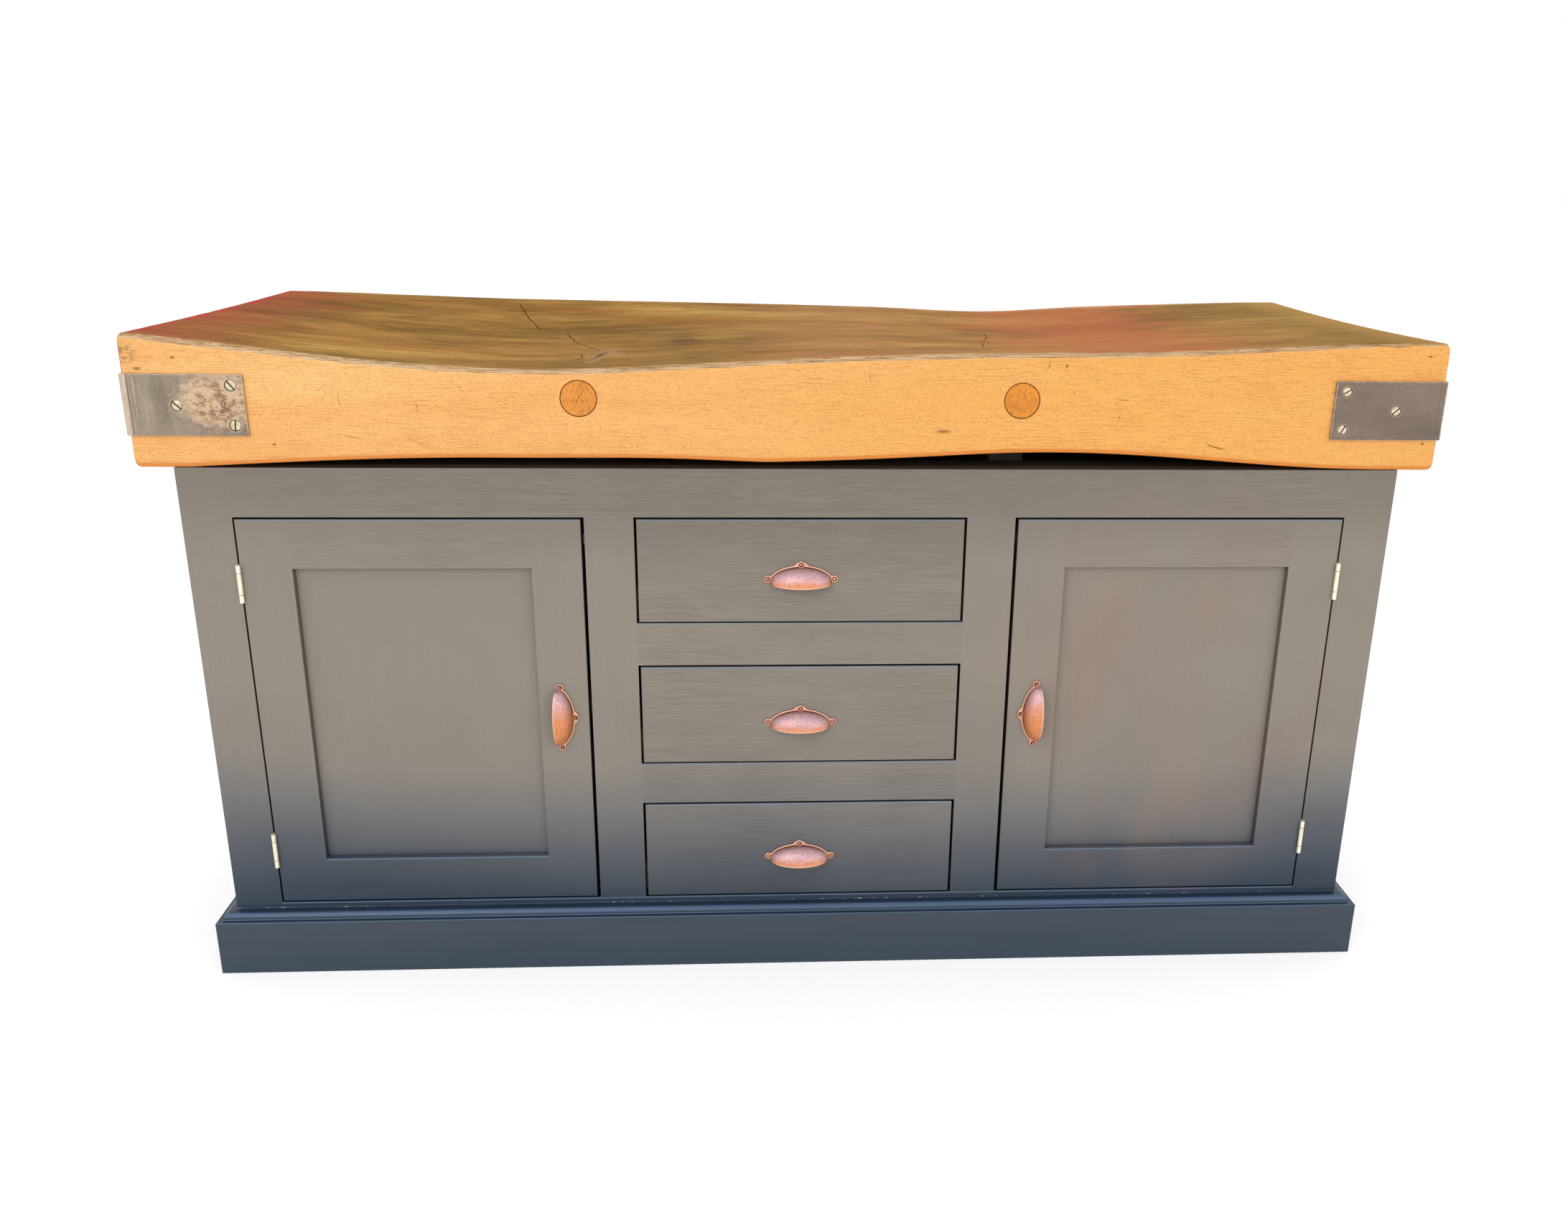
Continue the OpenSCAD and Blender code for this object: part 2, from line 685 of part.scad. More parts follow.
module drawer_sides(i) color(pine) both() translate([box_in, 0, drawer_z(i)]) difference() {
  union() {
    board([0, front_back_y, 0], [drawer_side_t, drawer_end_y - drawer_side_t, side_h(i)]);
    board([0, front_back_y, 0], [drawer_side_t, drawer_end_y, back_rise]);
    translate([0, front_back_y, 0]) mirror([0, 1, 0])
      tails(side_h(i), tail_l, drawer_side_t, 0);
    translate([0, drawer_end_y - drawer_side_t, back_rise])
      tails(back_h(i), drawer_side_t, drawer_side_t, 0);
  }
  board([-1, front_back_y - fit, bottom_rise - fit],
    [bottom_tuck, drawer_end_y + 1, back_rise + fit]);
}

module drawer_back(i) color(pine) difference() {
  translate([0, drawer_end_y - drawer_side_t, drawer_z(i) + back_rise])
    board([-front_half, 0, 0], [front_half, drawer_side_t, back_h(i)]);
  both() translate([box_in - fit, drawer_end_y - drawer_side_t, drawer_z(i) + back_rise])
    tails(back_h(i), drawer_side_t, drawer_side_t + 1, fit);
}

// The bottom is notched at its front corners, where the sides meet the front
module drawer_bottom(i) color(pine) translate([0, 0, drawer_z(i) + bottom_rise]) {
  board([-box_in - bottom_tuck + fit, front_back_y + fit, 0],
    [box_in + bottom_tuck - fit, drawer_end_y, drawer_bottom_t]);
  board([-box_in + fit, front_back_y - bottom_tuck + fit, 0],
    [box_in - fit, front_back_y + 1, drawer_bottom_t]);
}

module drawer_pull(i) drawer_pull_place(i) cup_pull();
module drawer_screws(i) color(copper) drawer_pull_place(i) pull_screws();

// ---- butcher's block --------------------------------------------------

function lobe(x, l, half) = let(d = (x / half - l[0]) / l[1])
  abs(d) < 1 ? l[2] * pow(cos(90 * d), l[3]) : 0;
function worn(x, lobes, half, i = 0) =
  i == len(lobes) ? 0 : lobe(x, lobes[i], half) + worn(x, lobes, half, i + 1);
function edge_height(x, ends, lobes) =
  ends[0] + (ends[1] - ends[0]) * (x / block_half_w + 1) / 2 - wear * worn(x, lobes, block_half_w);

// Height of the block's top and underside over the carcass
function block_top(x, y) = let(t = y / cabinet_d + 0.5)
  (1 - t) * edge_height(x, front_ends, front_wear) + t * edge_height(x, back_ends, back_wear)
  - wear * sin(180 * t) * worn(x, mid_wear, block_half_w);
function block_under(x) = wear * worn(x, under_wear, side_inner);

stations = concat([-block_half_w],
  [for (i = [0 : stations_n])
    let(reach = block_half_w - end_round) -reach + 2 * reach * i / stations_n],
  [block_half_w]);

// Two points that round the corner of a board's outline at y by r, inwards along s
function rim(x, y, r, s, drop) = let(z = block_top(x, y) - drop)
  [[y, z - r], [y + s * rim_share * r, z - rim_share * r]];

// Outline of a board across the block at x, from ya to yb. A board with ra or rb is
// the outer one at that side, with its top corner rounded and its lower one softened.
function board_ring(x, ya, yb, ra, rb) = let(
    drop = abs(x) == block_half_w ? end_round : 0,
    z = block_under(x) + (drop > 0 ? low_round : 0),
    a = ra > 0 ? concat([[ya + low_round, z], [ya, z + low_round]], rim(x, ya, ra, 1, drop))
      : [[ya, z]],
    b = rb > 0 ? concat(backwards(rim(x, yb, rb, -1, drop)), [[yb, z + low_round], [yb - low_round, z]])
      : [[yb, z]])
  concat(a, [for (i = [0 : across_n]) let(y = (ya + ra) + (yb - rb - ya - ra) * i / across_n)
      [y, block_top(x, y) - drop]], b);

// A solid skinned over one ring for each station along X
module skin(rings) {
  n = len(rings);
  m = len(rings[0]);
  polyhedron(
    points = [for (i = [0 : n - 1], p = rings[i]) [stations[i], p[0], p[1]]],
    faces = concat(
      [[for (j = [0 : m - 1]) j], [for (j = [m - 1 : -1 : 0]) (n - 1) * m + j]],
      [for (i = [0 : n - 2], j = [0 : m - 1]) let(k = (j + 1) % m) [i * m + j, (i + 1) * m + j, i * m + k]],
      [for (i = [0 : n - 2], j = [0 : m - 1]) let(k = (j + 1) % m)
        [i * m + k, (i + 1) * m + j, (i + 1) * m + k]]),
    convexity = 6);
}

module block_board(ya, yb, ra = 0, rb = 0) translate([0, 0, cabinet_h])
  skin([for (x = stations) board_ring(x, ya, yb, ra, rb)]);

// The four corners of the block, each as the one at +X +Y
module corners() for (sx = [0, 1], sy = [0, 1])
  mirror([sx, 0, 0]) mirror([0, sy, 0]) children();

module strap_screw_places() translate([block_half_w, half_d, cabinet_h + strap_z + strap_h / 2])
  for (p = [[strap_near, 0], [strap_far, strap_rise], [strap_far, -strap_rise]]) {
    translate([strap_t - p[0], strap_t, p[1]]) rotate([-90, 0, 0]) children();
    translate([strap_t, strap_t - p[0], p[1]]) rotate([0, 90, 0]) children();
  }

// Across the block at each tie rod, from the middle to the face at +Y
module rod_places() for (x = [-rod_x, rod_x], s = [-1, 1]) translate([x, 0, cabinet_h + rod_z])
  rotate([90 * s, 0, 0]) children();

module rod_holes() rod_places() {
  cylinder(h = half_d, r = rod_d / 2 + fit);
  translate([0, 0, half_d - plug_t - nut_room]) cylinder(h = half_d, r = washer_r + fit);
  translate([0, 0, half_d - plug_t]) cylinder(h = plug_t + 1, r = plug_d / 2 + fit);
}

module bored() color(sycamore) difference() {
  children();
  corners() strap_screw_places() screw_hole(strap_screw);
  rod_holes();
}

module block_front_board() bored() block_board(-half_d, edge_board_w - half_d, ra = rim_r);
module block_back_board() bored() block_board(half_d - edge_board_w, half_d, rb = back_rim_r);
module block_core_planks() bored() for (i = [0 : core_planks_n - 1])
  block_board(edge_board_w - half_d + i * core_w, edge_board_w - half_d + (i + 1) * core_w);

module tie_rods() color(steel) for (x = [-rod_x, rod_x]) translate([x, 0, cabinet_h + rod_z])
  rotate([90, 0, 0]) {
    rod_half = half_d - plug_t - nut_room + washer_t + nut_t + rod_past_nut;
    cylinder(h = 2 * rod_half, r = rod_d / 2, center = true);
    for (s = [0, 1]) mirror([0, 0, s]) translate([0, 0, half_d - plug_t - nut_room]) difference() {
      union() {
        cylinder(h = washer_t, r = washer_r);
        translate([0, 0, washer_t]) cylinder(h = nut_t, r = nut_r, $fn = 6);
      }
      translate([0, 0, -1]) cylinder(h = washer_t + nut_t + 2, r = rod_d / 2 + fit);
    }
  }

module rod_plugs() color(sycamore) rod_places()
  translate([0, 0, half_d - plug_t]) cylinder(h = plug_t, r = plug_d / 2);

module corner_straps() color(steel) corners() difference() {
  translate([block_half_w, half_d, cabinet_h + strap_z]) linear_extrude(strap_h)
    polygon(concat([[0, 0], [0, strap_t - strap_leg], [strap_t, strap_t - strap_leg]],
      arc(0, 0, strap_t, 0, 90, 6), [[strap_t - strap_leg, strap_t], [strap_t - strap_leg, 0]]));
  strap_screw_places() screw_hole(strap_screw);
}

module strap_screws() color(steel) corners() strap_screw_places() screw(strap_screw);

module drawer_1_front() drawer_front(0);
module drawer_1_sides() drawer_sides(0);
module drawer_1_back() drawer_back(0);
module drawer_1_bottom() drawer_bottom(0);
module drawer_1_pull() drawer_pull(0);
module drawer_1_screws() drawer_screws(0);
module drawer_2_front() drawer_front(1);
module drawer_2_sides() drawer_sides(1);
module drawer_2_back() drawer_back(1);
module drawer_2_bottom() drawer_bottom(1);
module drawer_2_pull() drawer_pull(1);
module drawer_2_screws() drawer_screws(1);
module drawer_3_front() drawer_front(2);
module drawer_3_sides() drawer_sides(2);
module drawer_3_back() drawer_back(2);
module drawer_3_bottom() drawer_bottom(2);
module drawer_3_pull() drawer_pull(2);
module drawer_3_screws() drawer_screws(2);

stile_left();
stile_right();
mullions();
rail_top();
rail_bottom();
drawer_rails();
side_panel_left();
side_panel_right();
back_boards();
bottom_board();
partitions();
bearers();
shelves();
shelf_pegs();
plinth_front();
plinth_sides();
plinth_back();
drawer_runners();
drawer_guides();
frame_leaves();
hinge_pins();
frame_screws();
door_catches();
block_front_board();
block_core_planks();
block_back_board();
tie_rods();
rod_plugs();
corner_straps();
strap_screws();
door_left_stiles();
door_left_rails();
door_left_panel();
door_left_leaves();
door_left_pull();
door_left_fixings();
door_right_stiles();
door_right_rails();
door_right_panel();
door_right_leaves();
door_right_pull();
door_right_fixings();
drawer_1_front();
drawer_1_sides();
drawer_1_back();
drawer_1_bottom();
drawer_1_pull();
drawer_1_screws();
drawer_2_front();
drawer_2_sides();
drawer_2_back();
drawer_2_bottom();
drawer_2_pull();
drawer_2_screws();
drawer_3_front();
drawer_3_sides();
drawer_3_back();
drawer_3_bottom();
drawer_3_pull();
drawer_3_screws();
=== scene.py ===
"""The looks of a kitchen island unit: a worn butcher's block on a painted cupboard.

Metres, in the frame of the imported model: +X to the right, -Y to the front, +Z up.
"""

from math import copysign, cos, degrees, hypot, pi, radians, sin, sqrt

import bmesh
import bpy
from mathutils import Matrix, Vector, noise


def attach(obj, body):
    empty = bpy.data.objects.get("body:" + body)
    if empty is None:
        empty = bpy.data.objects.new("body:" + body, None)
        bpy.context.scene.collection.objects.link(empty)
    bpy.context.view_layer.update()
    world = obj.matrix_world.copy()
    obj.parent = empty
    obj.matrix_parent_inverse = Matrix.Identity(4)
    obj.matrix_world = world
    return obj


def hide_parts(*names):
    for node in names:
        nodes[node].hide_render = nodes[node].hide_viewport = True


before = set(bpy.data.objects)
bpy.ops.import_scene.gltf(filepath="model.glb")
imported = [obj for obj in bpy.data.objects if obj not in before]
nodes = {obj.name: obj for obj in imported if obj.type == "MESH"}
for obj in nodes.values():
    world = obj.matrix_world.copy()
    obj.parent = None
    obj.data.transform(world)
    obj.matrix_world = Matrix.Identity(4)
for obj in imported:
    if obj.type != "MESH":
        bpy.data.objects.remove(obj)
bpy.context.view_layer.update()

MM = 0.001

# ---- sizes that the pieces here share with the solids ----

HALF_D = 305 * MM  # half the depth of the cabinet and of the block
HALF_W = 836 * MM  # half the length of the block
CABINET_H = 723 * MM
CABINET_HALF_W = 790 * MM
PLINTH_H = 90 * MM
SIDE_INNER = 772 * MM  # inner faces of the side panels
BOARD_W = 72 * MM  # front and back boards of the block
CORE_W = 116.5 * MM  # the four planks between them
RIM_R = 8 * MM  # worn front edge
BACK_RIM_R = 4 * MM
LOW_R = 4 * MM  # softened lower edges
END_R = 5 * MM
PLUG_R = 23 * MM
PLUG_T = 20 * MM
PLUG_X = 282 * MM
PLUG_Z = CABINET_H + 90 * MM
STRAP_T = 4 * MM
STRAP_MID_Z = CABINET_H + 79.5 * MM
STRAP_HALF_H = 38.5 * MM
STRAP_LEG = 149 * MM
STRAP_SCREWS = [(66 * MM, 0), (134 * MM, 25 * MM), (134 * MM, -25 * MM)]
HINGE_JOINTS = [z + rise for z in (156.1 * MM, 544.5 * MM) for rise in (11 * MM, 40 * MM)]
CUP_HALF = 41 * MM  # half the width of a cup, its projection and its wall
CUP_R = 22 * MM
CUP_WALL = 1.8 * MM
CUP_DROP = 6.2 * MM  # the cup's centre under the line of the side lugs
CUP_TURN = 7  # degrees that the lip turns in
FLANGE_T = 2 * MM
FLANGE_W = 3 * MM
LUG_R = 5 * MM
LUGS = [(-44.25 * MM, 0), (44.25 * MM, 0), (0, 19.4 * MM)]

# wear of the block as lobes: [middle, half width, depth, sharpness], the first two
# as shares of half the block's length, the depth in millimetres
FRONT_WEAR = [[-0.41, 0.83, 48, 2], [0.39, 0.64, 19, 2]]
MID_WEAR = [[-0.48, 0.67, 16, 2], [0.4, 0.56, 12, 2], [1, 0.4, 4, 2]]
BACK_WEAR = [[-0.45, 0.62, 10, 2], [0.29, 0.8, 17, 2], [0.39, 0.23, 5, 2]]
UNDER_WEAR = [[-0.53, 0.47, 13, 1], [-0.12, 0.39, 7, 2], [0.42, 0.58, 22, 2]]
FRONT_ENDS = [177 * MM, 167 * MM]
BACK_ENDS = [164 * MM, 161 * MM]

# ---- node trees ----


def linear(shade):
    """A colour as it shows, such as "#6a5b4c", as linear numbers. Anything else is kept."""
    if not isinstance(shade, str):
        return shade
    shown = [c / 255 for c in bytes.fromhex(shade[1:])]
    return [c / 12.92 if c < 0.04 else ((c + 0.055) / 1.055) ** 2.4 for c in shown] + [1]


def operator(operation, swapped=False):
    """A method that joins a value and a number, or another value, in a math node."""
    def method(self, other=0.0):
        pair = (other, self) if swapped else (self, other)
        return self.tree.math(operation, *pair)
    return method


class Value:
    """What a node gives, to be reckoned with like a number."""

    __add__, __sub__, __rsub__ = operator("ADD"), operator("SUBTRACT"), operator("SUBTRACT", swapped=True)
    __mul__, __truediv__ = operator("MULTIPLY"), operator("DIVIDE")
    __lt__, __gt__, __abs__ = operator("LESS_THAN"), operator("GREATER_THAN"), operator("ABSOLUTE")

    def __init__(self, tree, socket):
        self.tree, self.socket = tree, socket


def distance(dx, dz):
    return dx.tree.math("SQRT", dx * dx + dz * dz)


def pick(operation, value, *others):
    """The largest or the smallest of some values."""
    for other in others:
        value = value.tree.math(operation, value, other)
    return value


class Tree:
    """The nodes of a world or a material, and what is made with them."""

    def __init__(self, owner, shader):
        owner.use_nodes = True
        self.nodes, self.links = owner.node_tree.nodes, owner.node_tree.links
        self.shader = self.nodes[shader]

    def plug(self, socket, value):
        if isinstance(value, Value):
            self.links.new(value.socket, socket)
        else:
            socket.default_value = value

    def set(self, name, value):
        """Gives a socket of the tree's shader its value or its link."""
        self.plug(self.shader.inputs[name], value)

    def node(self, kind, inputs, **settings):
        node = self.nodes.new("ShaderNode" + kind)
        for name, value in settings.items():
            setattr(node, name, value)
        for key, value in inputs.items():
            self.plug(node.inputs[key], value)
        return node

    def add(self, kind, output, inputs={}, **settings):
        """The value that a new node gives."""
        return Value(self, self.node(kind, inputs, **settings).outputs[output])

    def math(self, operation, a, b=0.0):
        return self.add("Math", 0, {0: a, 1: b}, operation=operation)


class Finish(Tree):
    """A material with its look. base is its colour, laid on in layers."""

    def __init__(self, name, rough=0.5, metal=0.0, specular=0.5):
        self.material = bpy.data.materials.new(name)
        super().__init__(self.material, "Principled BSDF")
        self.set("Roughness", rough)
        self.set("Metallic", metal)
        self.set("Specular IOR Level", specular)
        self.place = self.add("TexCoord", "Object")
        self.x, self.y, self.z = [self.axis(name) for name in "XYZ"]

    def vector(self, operation, a, b=(0, 0, 0), output="Vector"):
        return self.add("VectorMath", output, {0: a, 1: b}, operation=operation)

    def axis(self, name, place=None):
        return self.add("SeparateXYZ", name, {0: place or self.place})

    def normal(self, name):
        return self.axis(name, self.add("NewGeometry", "Normal"))

    def noise(self, scale, detail=2, rough=0.55, place=None):
        """Noise from 0 to 1. The scale is one number, or one for each axis."""
        place = place or self.place
        if not isinstance(scale, (int, float)):
            place, scale = self.vector("MULTIPLY", place, scale), 1
        return self.add("TexNoise", "Fac",
                        {"Vector": place, "Scale": scale, "Detail": detail, "Roughness": rough})

    def wander(self, scale, reach):
        """The place, moved by a slow noise of at most half the reach along each axis."""
        loose = self.add("TexNoise", "Color", {"Vector": self.place, "Scale": scale, "Detail": 2})
        shift = self.vector("SUBTRACT", loose, (0.5, 0.5, 0.5))
        return self.vector("ADD", self.place, self.vector("MULTIPLY", shift, reach))

    def ease(self, value, low, high, to_low=0.0, to_high=1.0):
        """The value's place between low and high, smoothed and clamped."""
        return self.add("MapRange", "Result", {
            "Value": value, "From Min": low, "From Max": high, "To Min": to_low, "To Max": to_high,
        }, interpolation_type="SMOOTHSTEP")

    def span(self, value, to_low, to_high):
        """A noise's usual reach, drawn out from one number to another."""
        return self.ease(value, 0.3, 0.7, to_low, to_high)

    def patches(self, low, high, scale, *pattern, **settings):
        """Noise that is 0 up to low and 1 from high."""
        return self.ease(self.noise(scale, *pattern, **settings), low, high)

    def near(self, centre, reach):
        """1 at a point of the object, 0 beyond the reach along each axis."""
        off = self.vector("DIVIDE", self.vector("SUBTRACT", self.place, centre), reach)
        return self.ease(self.vector("LENGTH", off, output="Value"), 1.0, 0.25)

    def ramp(self, value, stops):
        """A colour from a table of places and shades."""
        node = self.node("ValToRGB", {"Fac": value})
        elements = node.color_ramp.elements
        while len(elements) < len(stops):
            elements.new(0.5)
        for element, (at, shade) in zip(elements, stops.items()):
            element.position = at
            element.color = linear(shade)
        return Value(self, node.outputs["Color"])

    def mix(self, share, a, b, blend="MIX"):
        """Two colours mixed, as values or as shown numbers."""
        inputs = {0: share, 6: linear(a), 7: linear(b)}
        return self.add("Mix", 2, inputs, data_type="RGBA", blend_type=blend)

    def lay(self, tint, share):
        """Covers a share of the base with a tint."""
        self.base = self.mix(share, self.base, tint)

    def shade(self, by):
        self.base = self.mix(1.0, self.base, by, "MULTIPLY")

    def attribute(self, name):
        return self.add("Attribute", "Fac", attribute_name=name)

    def bump(self, height, depth, strength=1.0):
        """Adds relief, with the depth in millimetres."""
        before = self.shader.inputs["Normal"].links
        inputs = {"Height": height, "Distance": depth * MM, "Strength": strength}
        if before:
            inputs["Normal"] = Value(self, before[0].from_socket)
        self.set("Normal", self.add("Bump", "Normal", inputs))

    def done(self):
        self.set("Base Color", self.base)
        return self.material


# ---- camera, light and floor ----


def place_camera():
    """The photograph's view."""
    data = bpy.data.cameras.new("camera")
    data.sensor_width = 36
    data.lens = 29.876
    data.shift_x, data.shift_y = -0.03265, -0.01154
    camera = bpy.data.objects.new("camera", data)
    camera.location = (-0.053, -1.951, 1.095)
    camera.rotation_euler = [radians(a) for a in (72.048, -0.847, -3.146)]
    show(camera)
    bpy.context.scene.camera = camera


def show(thing):
    bpy.context.scene.collection.objects.link(thing)


def soft_light(name, at, size, power, aim=(0, 0, 0.5)):
    data = bpy.data.lights.new(name, "AREA")
    data.shape = "RECTANGLE"
    data.size, data.size_y = size
    data.energy = power
    lamp = bpy.data.objects.new(name, data)
    lamp.location = at
    lamp.rotation_euler = (Vector(aim) - Vector(at)).to_track_quat("-Z", "Y").to_euler()
    show(lamp)


def white_where_seen(tree, strength):
    """A number that is the strength for the camera and in reflections, and 0 elsewhere."""
    rays = [tree.add("LightPath", f"Is {ray} Ray") for ray in ("Camera", "Glossy", "Transmission")]
    return pick("MAXIMUM", *rays) * strength


def light_stage():
    """Plain soft studio light, a white surround and a pale floor that keeps the shadow."""
    bpy.context.scene.view_settings.view_transform = "Standard"
    world_light = 0.74
    world = bpy.data.worlds.new("studio")
    bpy.context.scene.world = world
    sky = Tree(world, "Background")
    sky.set("Strength", sky.math("MAXIMUM", white_where_seen(sky, 1.0), world_light))
    sky.set("Color", (1, 1, 1, 1))

    soft_light("key", (-1.6, -3.2, 2.6), (2.4, 1.6), 38)
    soft_light("fill", (2.2, -3.0, 1.5), (2.0, 1.6), 14)
    soft_light("back", (0.6, 3.2, 2.8), (2.6, 1.4), 24)

    f = Finish("floor", rough=0.9, specular=0.1)
    f.base = (0.86, 0.86, 0.86, 1)
    f.set("Emission Color", (1, 1, 1, 1))
    f.set("Emission Strength", white_where_seen(f, 0.4))
    mesh = bpy.data.meshes.new("floor")
    corners = [(40 * x, 40 * y, 0) for x, y in ((-1, -1), (1, -1), (1, 1), (-1, 1))]
    mesh.from_pydata(corners, [], [range(4)])
    mesh.materials.append(f.done())
    floor = bpy.data.objects.new("floor", mesh)
    show(floor)


# ---- finishes ----


def along(axis, lengthwise, across):
    """Scales for a pattern drawn out along an axis."""
    return [lengthwise if name == axis else across for name in "XYZ"]


def in_a_recess(f):
    """1 about the sunk panels of the doors."""
    x, z = abs(f.x), f.z
    return (x > 0.31) * (x < 0.7) * ((z > 0.13) * (z < 0.63))


def in_a_gap(f):
    """1 on the edges of doors, drawers and openings, where the shade of the gaps is painted."""
    side = abs(f.normal("Y")) < 0.35
    return side * (f.y > 0.5 * MM - HALF_D) * (abs(f.x) < 0.755) * (1.0 - in_a_recess(f))


def paint(name, axis, grain_share=1.0, tint=1.0, ledges=(), painted_shadow_lines=(), lift=0.0):
    """Brushed satin paint over pine, with painted light: slate near the floor and warm grey above.
    ledges are the heights in mm of the edges along which a highlight is painted.
    The distances across, and the heights, of lines of painted shadow around a panel come after the ledges.
    lift raises the height at which the colour is read."""
    f = Finish("paint_" + name, rough=0.42, specular=0.4)
    # painted light: the colour ramp by height, read a little lower towards the sides, stands in for reflections on
    # the paint
    height = f.z + f.noise(2.4) * 0.07
    height = height - f.ease(abs(f.x), 0.45, 0.8, 0.035 - lift, 0.062 - lift)
    f.base = f.ramp(height / CABINET_H,
                    {0.04: "#2a394b", 0.135: "#2e3b4c", 0.17: "#3e4753", 0.245: "#585c63", 0.33: "#787674",
                     0.42: "#8e867d", 0.62: "#938a7e", 0.82: "#91887c", 0.92: "#847b70", 1.0: "#7f766b"})
    # painted sheen: a warm pinkish-brown patch on the right door
    f.lay("#a27c68", f.near((0.5, -HALF_D, 0.4), (0.3, 0.2, 0.36)) * f.patches(0.4, 0.6, (9, 9, 5), 3) * 0.3)
    patches = f.ease(f.noise(5), 0.42, 0.62, -0.02, 0.025)
    loose = f.wander(8, along(axis, 0.0, 0.016))
    grain = f.noise(along(axis, 10, 460), 2, 0.5, loose)
    fine = f.noise(along(axis, 22, 1000), place=loose)
    streaks = f.ease(grain, 0.36, 0.64, -0.08, 0.055)
    streaks += f.span(fine, -0.02, 0.02)
    streaks += f.ease(f.noise(along(axis, 2, 45), place=loose), 0.35, 0.65, -0.02, 0.02)
    streaks *= f.ease(f.noise(along(axis, 4, 12)), 0.36, 0.6, 0.25, 1.0) * grain_share
    f.shade((streaks + patches + 1.0) * tint)
    wave = f.noise(along(axis, 7, 16)) * 9
    ripple = f.noise(along(axis, 42, 60)) * 1.6
    level = f.axis("Z" if axis == "X" else "X") * (1 / (3.4 * MM))
    level = level + (wave + ripple)
    ridge = contours(f, level, 0.3) * f.patches(0.4, 0.6, along(axis, 16, 60), 3, 0.6)
    f.lay(f.mix(0.5, f.base, "#3a3a3e"), ridge * (0.22 * grain_share))
    f.lay("#b0b8c0", f.patches(0.79, 0.81, along(axis, 120, 420), 1) * 0.4)
    # painted highlight on arrises that face up, and along the ledges, on front faces only
    painted_highlight = f.ease(f.normal("Z"), 0.35, 0.75)
    ragged = f.noise(130) * (0.9 * MM)
    for ledge in ledges:
        off = abs(f.z - (ledge * MM - 1.2 * MM))
        painted_highlight = f.math("MAXIMUM", painted_highlight, f.ease(off + ragged, 1.8 * MM, 0.7 * MM))
    f.lay("#768cae", painted_highlight * (f.y < 1.2 * MM - HALF_D) * 0.55)
    # painted shade on the edges inside the gaps
    f.lay("#0c0c0e", in_a_gap(f) * 0.75)
    # painted shade on the side walls of the panel recesses
    f.lay("#221e20", f.ease(abs(f.normal("X")), 0.6, 0.9) * in_a_recess(f) * 0.5)
    # painted shadow lines along the edges of the door panels
    for name, places in zip("XZ", painted_shadow_lines):
        for place in places:
            off = abs(abs(f.axis(name)) - place * MM)
            f.lay("#222022", f.ease(off + ragged * 0.6, 1.9 * MM, 0.8 * MM) * 0.6)
    f.set("Roughness", f.span(grain, 0.48, 0.38))
    f.bump(grain, 0.45, min(0.6, 0.35 * grain_share))
    f.bump(fine, 0.1, 0.3 * min(grain_share, 1))
    f.bump(1.0 - ridge, 0.3, min(0.4, 0.3 * grain_share))
    return f.done()


def skirting():
    """The plinth's paint, with a painted highlight on the moulding along its top, painted shade on its flat, and
    painted shade darker and bluer towards the floor.
    """
    f = Finish("skirting", rough=0.36, specular=0.5)
    face = f.noise((3, 3, 40), 3)
    f.base = f.ramp(face, {0.3: "#2e3c4b", 0.7: "#364453"})
    # painted shade: darker and bluer towards the floor
    f.lay("#223548", f.ease(f.z, 0.075, 0.0, 0.0, 0.55))
    up = f.normal("Z")
    high = f.ease(f.z, 0.07, 0.078)
    streaks = f.span(f.noise((6, 6, 300)), 0.75, 1.0)
    # painted highlight on the moulding, where it turns up to the sky
    f.lay("#445f80", f.ease(up, 0.12, 0.4) * f.ease(up, 0.98, 0.93) * high * streaks)
    # painted shade on the flat top of the plinth
    f.lay("#203246", f.ease(up, 0.96, 0.99) * high)
    f.set("Roughness", f.span(face, 0.42, 0.32))
    f.bump(face, 0.3, 0.3)
    return f.done()


def bead_paint():
    """Sealer painted over along the foot of the frame, worn to pale flecks."""
    f = Finish("bead_paint", rough=0.4, specular=0.5)
    flecks = f.patches(0.56, 0.64, (130, 130, 200), 4, 0.7)
    f.base = f.mix(flecks * f.patches(0.4, 0.58, 6), "#28364a", "#96a8be")
    return f.done()


def contours(f, field, thick):
    """Lines where a field passes whole shares of its range, like growth rings cut through."""
    return f.ease(abs(f.math("FRACT", field) - 0.5), thick, 0.0)


